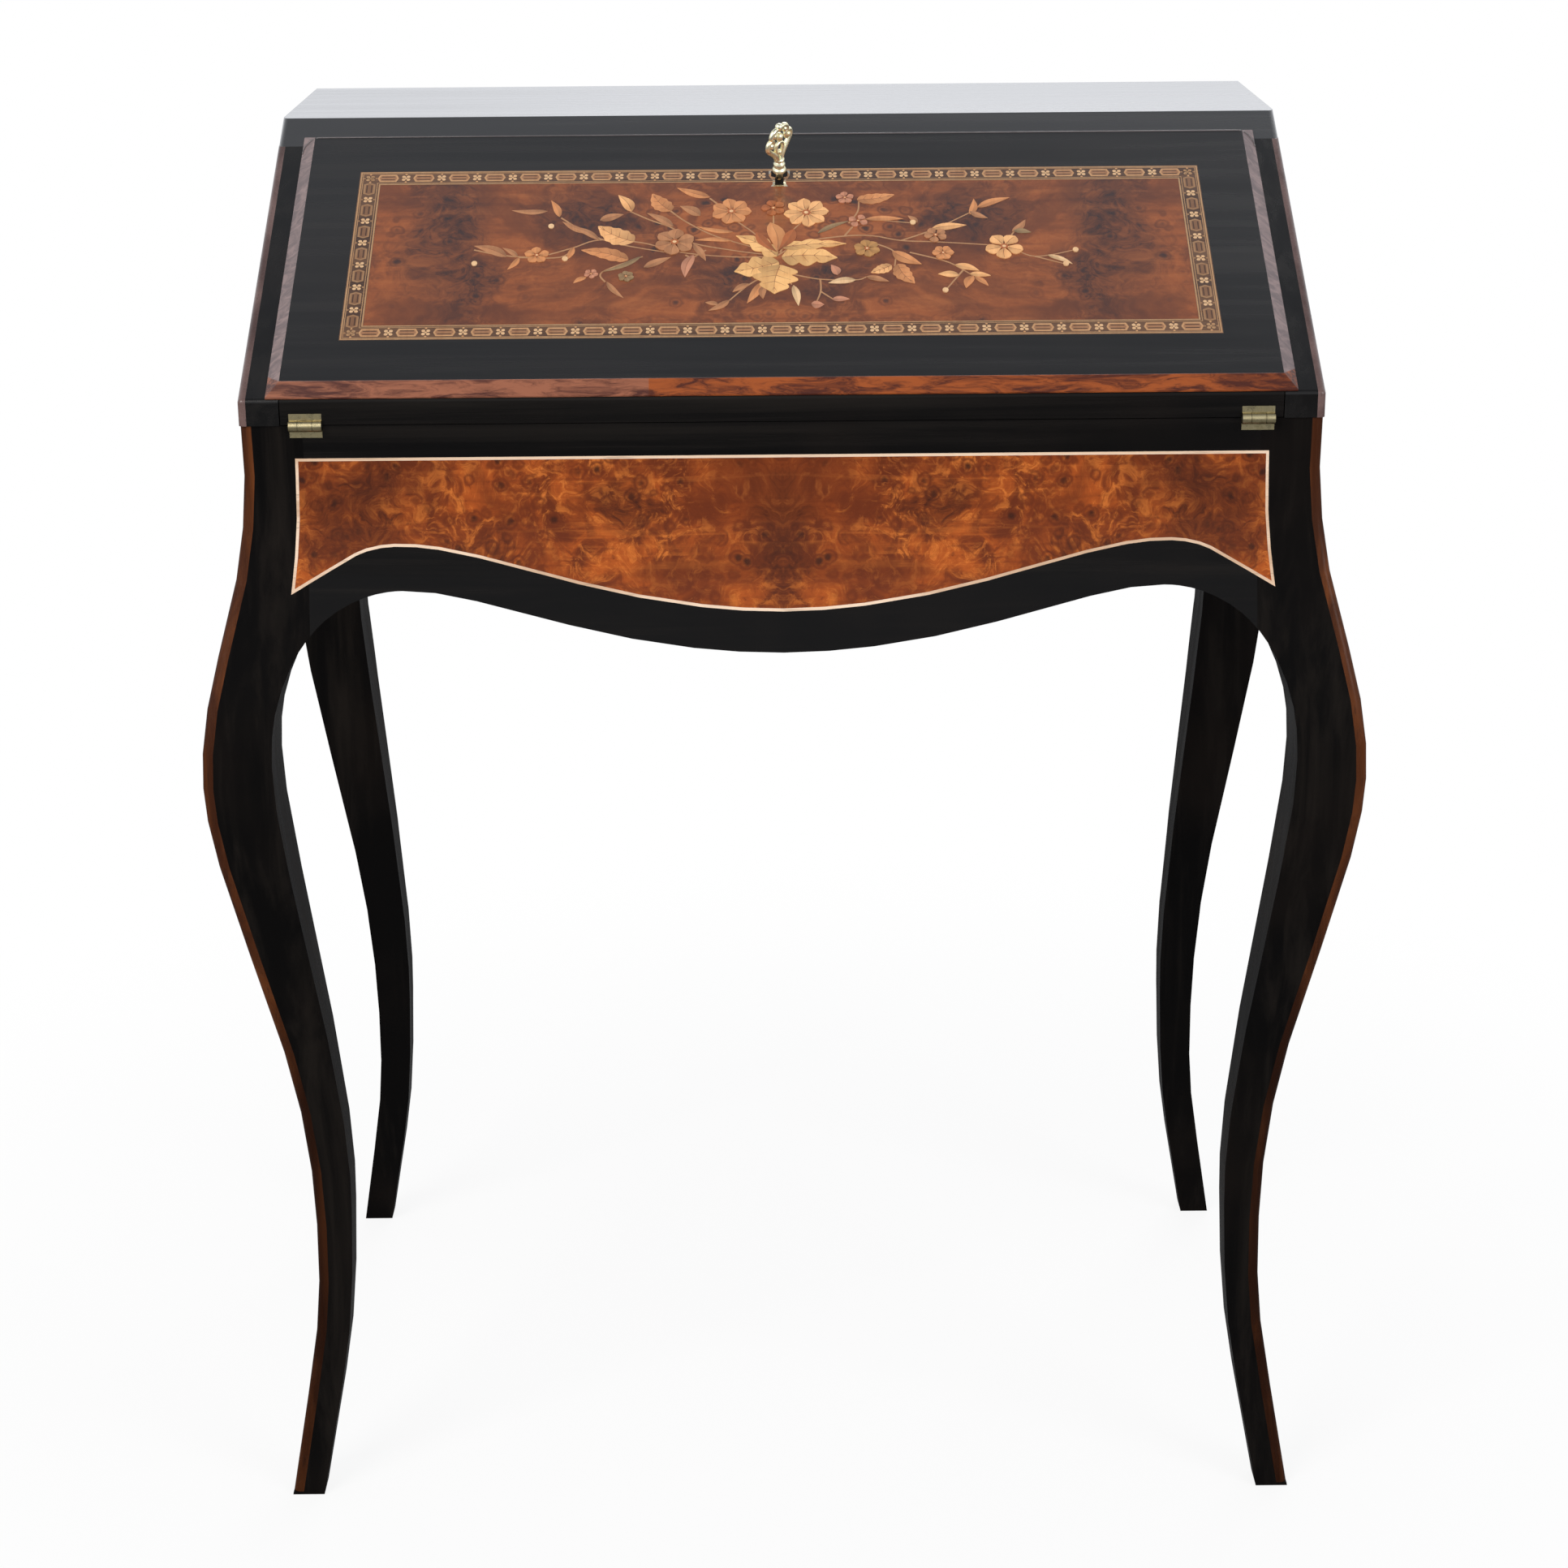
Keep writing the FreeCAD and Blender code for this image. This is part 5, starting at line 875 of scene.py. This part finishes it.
# Two gilt lines tooled round the writing leather, each with its inset and width, in millimetres
LEATHER_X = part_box("writing_leather")[1].x / MM
LEATHER_LOW = 28.0
LEATHER_HIGH = 183.0
INNER_FACE = -13.51
TOOL_INSETS = ((6.0, 0.9), (8.2, 0.35))


def tooled_lines():
    """Thin frames that stand a little proud of the leather."""
    verts, faces = [], []
    for inset, wide in TOOL_INSETS:
        x, low, high = LEATHER_X - inset, LEATHER_LOW + inset, LEATHER_HIGH - inset
        outer = [(-x, low), (x, low), (x, high), (-x, high)]
        x, low, high = x - wide, low + wide, high - wide
        inner = [(-x, low), (x, low), (x, high), (-x, high)]
        start = len(verts)
        for out in (INNER_FACE - 0.05, INNER_FACE + 0.2):
            for ring in (outer, inner):
                verts += [fall_point(px, pu, out) for px, pu in ring]
        for i in range(4):
            j = (i + 1) % 4
            a, b, c, d = start + i, start + j, start + 4 + j, start + 4 + i
            faces += [(a, d, c, b), (a + 8, b + 8, c + 8, d + 8), (a, b, b + 8, a + 8), (d, d + 8, c + 8, c)]
    mesh_piece("leather_gilt_line", verts, faces, GILT, "fall")


tooled_lines()

# Slim bead along the raised panel's top edge, pale grey as a painted highlight on that edge; its ends, past
# the panel, run down over the side strips
PANEL_TOP = KEY_UP + 47.1
STRIP_WIDTH, STRIP_DROP = 8.5, 6.1
BEAD_ENDS = [(8.1, -10.0), (7.6, -6.0), (6.2, -3.2), (4.0, -1.4), (1.6, -0.6)]
BEAD_INSET, BEAD_SINK = 2.0, 0.45
BEAD_RADIUS = 0.00055


def painted_highlight_bead():
    """The bead with its painted highlight, from the end of its left turn to that of its right one."""
    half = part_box("fall_raised_panel")[1].x / MM
    slant = STRIP_DROP / STRIP_WIDTH
    right = [(half + past, PANEL_TOP + rise, PANEL_FACE - past * slant) for past, rise in BEAD_ENDS]
    right.append((half - BEAD_INSET, PANEL_TOP - BEAD_SINK, PANEL_FACE))
    line = [(-x, up, out) for x, up, out in right] + list(reversed(right))
    points = [fall_point(x, up, out) for x, up, out in line]
    cast = Casting()
    cast.rod(points, [BEAD_RADIUS] * len(points), 8)
    mesh_piece("panel_top_bead", cast.verts, cast.faces, PAINTED_HIGHLIGHT_GREY, "fall", smooth=True)


painted_highlight_bead()

# Domed rivet heads on the folding stays, at the pivot on each cheek and at each elbow, in metres
RIVET_HEAD = [(-0.0002, 0.0), (-0.0002, 0.0038), (0.0002, 0.0038), (0.0005, 0.0031), (0.0007, 0.0018),
              (0.0008, 0.0)]
STAY_FOOT = Vector((0, -0.125, 0.752))
STAY_ELBOW = Vector((0, -0.0226922, 0.786041))


def rivet_head(side, sign, place, reach, body, what):
    """One head on the end of a rivet, facing the middle of the desk."""
    cast = Casting()
    cast.turned(place + Vector((sign * reach, 0, 0)), Vector((-sign, 0, 0)), RIVET_HEAD, 16)
    mesh_piece(f"{side}_stay_{what}_rivet_head", cast.verts, cast.faces, BRASS, body, smooth=True)


for side, sign in (("left", -1), ("right", 1)):
    upper_arm = [abs(corner.x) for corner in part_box(side + "_stay_upper_arm")]
    lower_arm = [abs(corner.x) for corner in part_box(side + "_stay_lower_arm")]
    rivet_head(side, sign, STAY_FOOT, max(upper_arm), "desk", "foot")
    rivet_head(side, sign, STAY_ELBOW, min(lower_arm), side + "_lower_arm", "elbow")

# The keyhole plate, in millimetres: its reach under and over the shank, and the height of its wide head
PLATE_DOWN, PLATE_UP, PLATE_HEAD = 9.2, 8.4, 8.0
HEAD_HALF, FOOT_HALF = 6.8, 4.3
PLATE_RIM, PLATE_HOLE = 1.5, 2.5
# Levels of the painted shade sheet in the keyhole plate, in millimetres
WELL_TOP, WELL_ROOT = PANEL_FACE + 0.06, PANEL_FACE - 0.3


def painted_keyhole_shade():
    """A dark sheet inside the plate's pale rim, open where the shank passes: painted shade of the keyhole and
    of the shank's shadow.
    """
    low, high = KEY_UP - PLATE_DOWN + PLATE_RIM, KEY_UP + PLATE_UP - PLATE_RIM
    step = KEY_UP + PLATE_UP - PLATE_HEAD
    shoulder = step + PLATE_RIM * 0.7
    head, foot = HEAD_HALF - PLATE_RIM, FOOT_HALF - PLATE_RIM
    outline = [(-foot, low), (foot, low), (foot, step), (head, shoulder), (head, high), (-head, high),
               (-head, shoulder), (-foot, step)]
    verts, faces = [], []
    for level in (WELL_TOP, WELL_ROOT):
        for x, up in outline:
            verts.append(fall_point(x, up, level))
        for x, up in outline:
            share = PLATE_HOLE / math.hypot(x, up - KEY_UP)
            verts.append(fall_point(x * share, KEY_UP + (up - KEY_UP) * share, level))
    count = len(outline)
    for i in range(count):
        j = (i + 1) % count
        faces.append((i, j, count + j, count + i))
        faces.append((2 * count + j, 2 * count + i, 3 * count + i, 3 * count + j))
        faces.append((j, i, 2 * count + i, 2 * count + j))
        faces.append((count + i, count + j, 3 * count + j, 3 * count + i))
    mesh_piece("keyhole_plate_well", verts, faces, PAINTED_KEYHOLE_SHADE, "fall")


painted_keyhole_shade()


# Floor, world, lamps and camera

def stage_material():
    """White floor that keeps the desk's shadow near it and fades into the background."""
    made = bpy.data.materials.new("studio_floor")
    tree = Tree(made)
    output = tree.node("OutputMaterial")
    ray = tree.node("LightPath").outputs
    place = tree.node("TexCoord").outputs["Object"]
    reach = tree.node("VectorMath", [(0, place)], operation="LENGTH").outputs["Value"]
    fade = tree.node("MapRange", [("Value", reach), ("From Min", 0.3), ("From Max", 1.1), ("To Min", 0.87)],
                     interpolation_type="SMOOTHSTEP")
    seen = tree.node("Math", [(0, fade.outputs[0]), (1, ray["Is Camera Ray"])], operation="MULTIPLY")
    tone = tree.node("MixRGB", [("Fac", ray["Is Glossy Ray"]), ("Color1", (0.9, 0.9, 0.9)),
                                ("Color2", (0.22, 0.22, 0.22))])
    matt = tree.node("BsdfDiffuse", [("Color", tone.outputs["Color"])])
    glow = tree.node("Emission")
    blend = tree.node("MixShader", [(0, seen.outputs[0]), (1, matt.outputs[0]), (2, glow.outputs[0])])
    tree.feed(output.inputs["Surface"], blend.outputs[0])
    return made


HALF_FLOOR = 6.0
FLOOR_HEIGHT = -0.0003
floor_data = bpy.data.meshes.new("floor")
floor_data.from_pydata([(x * HALF_FLOOR, y * HALF_FLOOR, FLOOR_HEIGHT)
                        for x, y in ((-1, -1), (1, -1), (1, 1), (-1, 1))], [], [(0, 1, 2, 3)])
floor = bpy.data.objects.new("floor", floor_data)
bpy.context.scene.collection.objects.link(floor)
floor_data.materials.append(stage_material())


# What polished faces see, from the horizon (0) to straight up (1)
SKY = [
    (0.0, (0.52, 0.54, 0.57)), (0.06, (0.64, 0.66, 0.69)), (0.135, (1.04, 1.06, 1.11)),
    (0.30, (0.85, 0.86, 0.90)), (0.55, (0.70, 0.72, 0.75)), (0.905, (0.48, 0.50, 0.54)),
    (0.922, (0.29, 0.30, 0.325)), (1.0, (0.24, 0.25, 0.27)),
]


def studio_world():
    """White to the camera, the sky above to polished faces, and a plain pale light to the rest."""
    world = bpy.data.worlds.new("studio")
    bpy.context.scene.world = world
    tree = Tree(world)
    output = tree.node("OutputWorld")
    ray = tree.node("LightPath").outputs
    direction = tree.node("TexCoord").outputs["Generated"]
    height = tree.node("SeparateXYZ", [(0, direction)]).outputs["Z"]
    ramp = tree.node("ValToRGB", [(0, height)])
    stops = ramp.color_ramp.elements
    for place, _ in SKY[1:-1]:
        stops.new(place)
    for stop, (place, colour) in zip(stops, SKY):
        stop.position = place
        stop.color = (*colour, 1)
    glossy = tree.node("Background", [("Color", ramp.outputs[0])])
    plain = tree.node("Background", [("Color", (0.93, 0.95, 1.0)), ("Strength", 0.42)])
    white = tree.node("Background", [("Color", (1.0, 1.0, 1.0))])
    shiny = tree.node("Math", [(0, ray["Is Glossy Ray"]), (1, ray["Is Transmission Ray"])],
                      operation="MAXIMUM")
    lit = tree.node("MixShader", [(0, shiny.outputs[0]), (1, plain.outputs[0]), (2, glossy.outputs[0])])
    shown = tree.node("MixShader", [(0, ray["Is Camera Ray"]), (1, lit.outputs[0]), (2, white.outputs[0])])
    tree.feed(output.inputs["Surface"], shown.outputs[0])


studio_world()


def soft_lamp(name, place, target, size, power, colour):
    """A rectangular lamp, aimed at a point."""
    data = bpy.data.lights.new(name, "AREA")
    data.shape = "RECTANGLE"
    data.size, data.size_y = size
    data.energy = power
    data.color = colour
    lamp = bpy.data.objects.new(name, data)
    bpy.context.scene.collection.objects.link(lamp)
    lamp.location = place
    lamp.rotation_euler = (Vector(target) - Vector(place)).to_track_quat("-Z", "Y").to_euler()


soft_lamp("key_softbox", (-1.9, -2.3, 2.5), (0, 0, 0.6), (1.6, 1.6), 62, (1.0, 0.97, 0.93))
soft_lamp("fill_softbox", (2.3, -2.0, 1.9), (0, 0, 0.5), (1.4, 1.8), 34, (0.96, 0.98, 1.0))
soft_lamp("rear_softbox", (0.6, 2.4, 2.4), (0, 0, 0.5), (2.0, 1.2), 30, (1.0, 1.0, 1.0))

# The camera that took the photograph, solved from the desk's outline
FOCAL_PIXELS, PHOTO_PIXELS = 3895.7, 1932
SENSOR = 36.0
CAMERA_PLACE = (-0.0061, -2.1024, 1.1575)
camera_data = bpy.data.cameras.new("photo_camera")
camera = bpy.data.objects.new("photo_camera", camera_data)
bpy.context.scene.collection.objects.link(camera)
bpy.context.scene.camera = camera
camera_data.sensor_width = SENSOR
camera_data.lens = FOCAL_PIXELS / PHOTO_PIXELS * SENSOR
camera_data.clip_start = 0.05
PITCH, YAW, ROLL = math.radians(18.973), math.radians(-0.168), math.radians(0.450)
ahead = Vector((-math.sin(YAW) * math.cos(PITCH), math.cos(YAW) * math.cos(PITCH), -math.sin(PITCH)))
level = Vector((math.cos(YAW), math.sin(YAW), 0))
above = level.cross(ahead)
cam_right = level * math.cos(ROLL) - above * math.sin(ROLL)
cam_up = level * math.sin(ROLL) + above * math.cos(ROLL)
turn = Matrix((cam_right, cam_up, -ahead)).transposed()
camera.matrix_world = Matrix.Translation(CAMERA_PLACE) @ turn.to_4x4()

bpy.context.scene.view_settings.view_transform = "Standard"

bpy.context.view_layer.update()
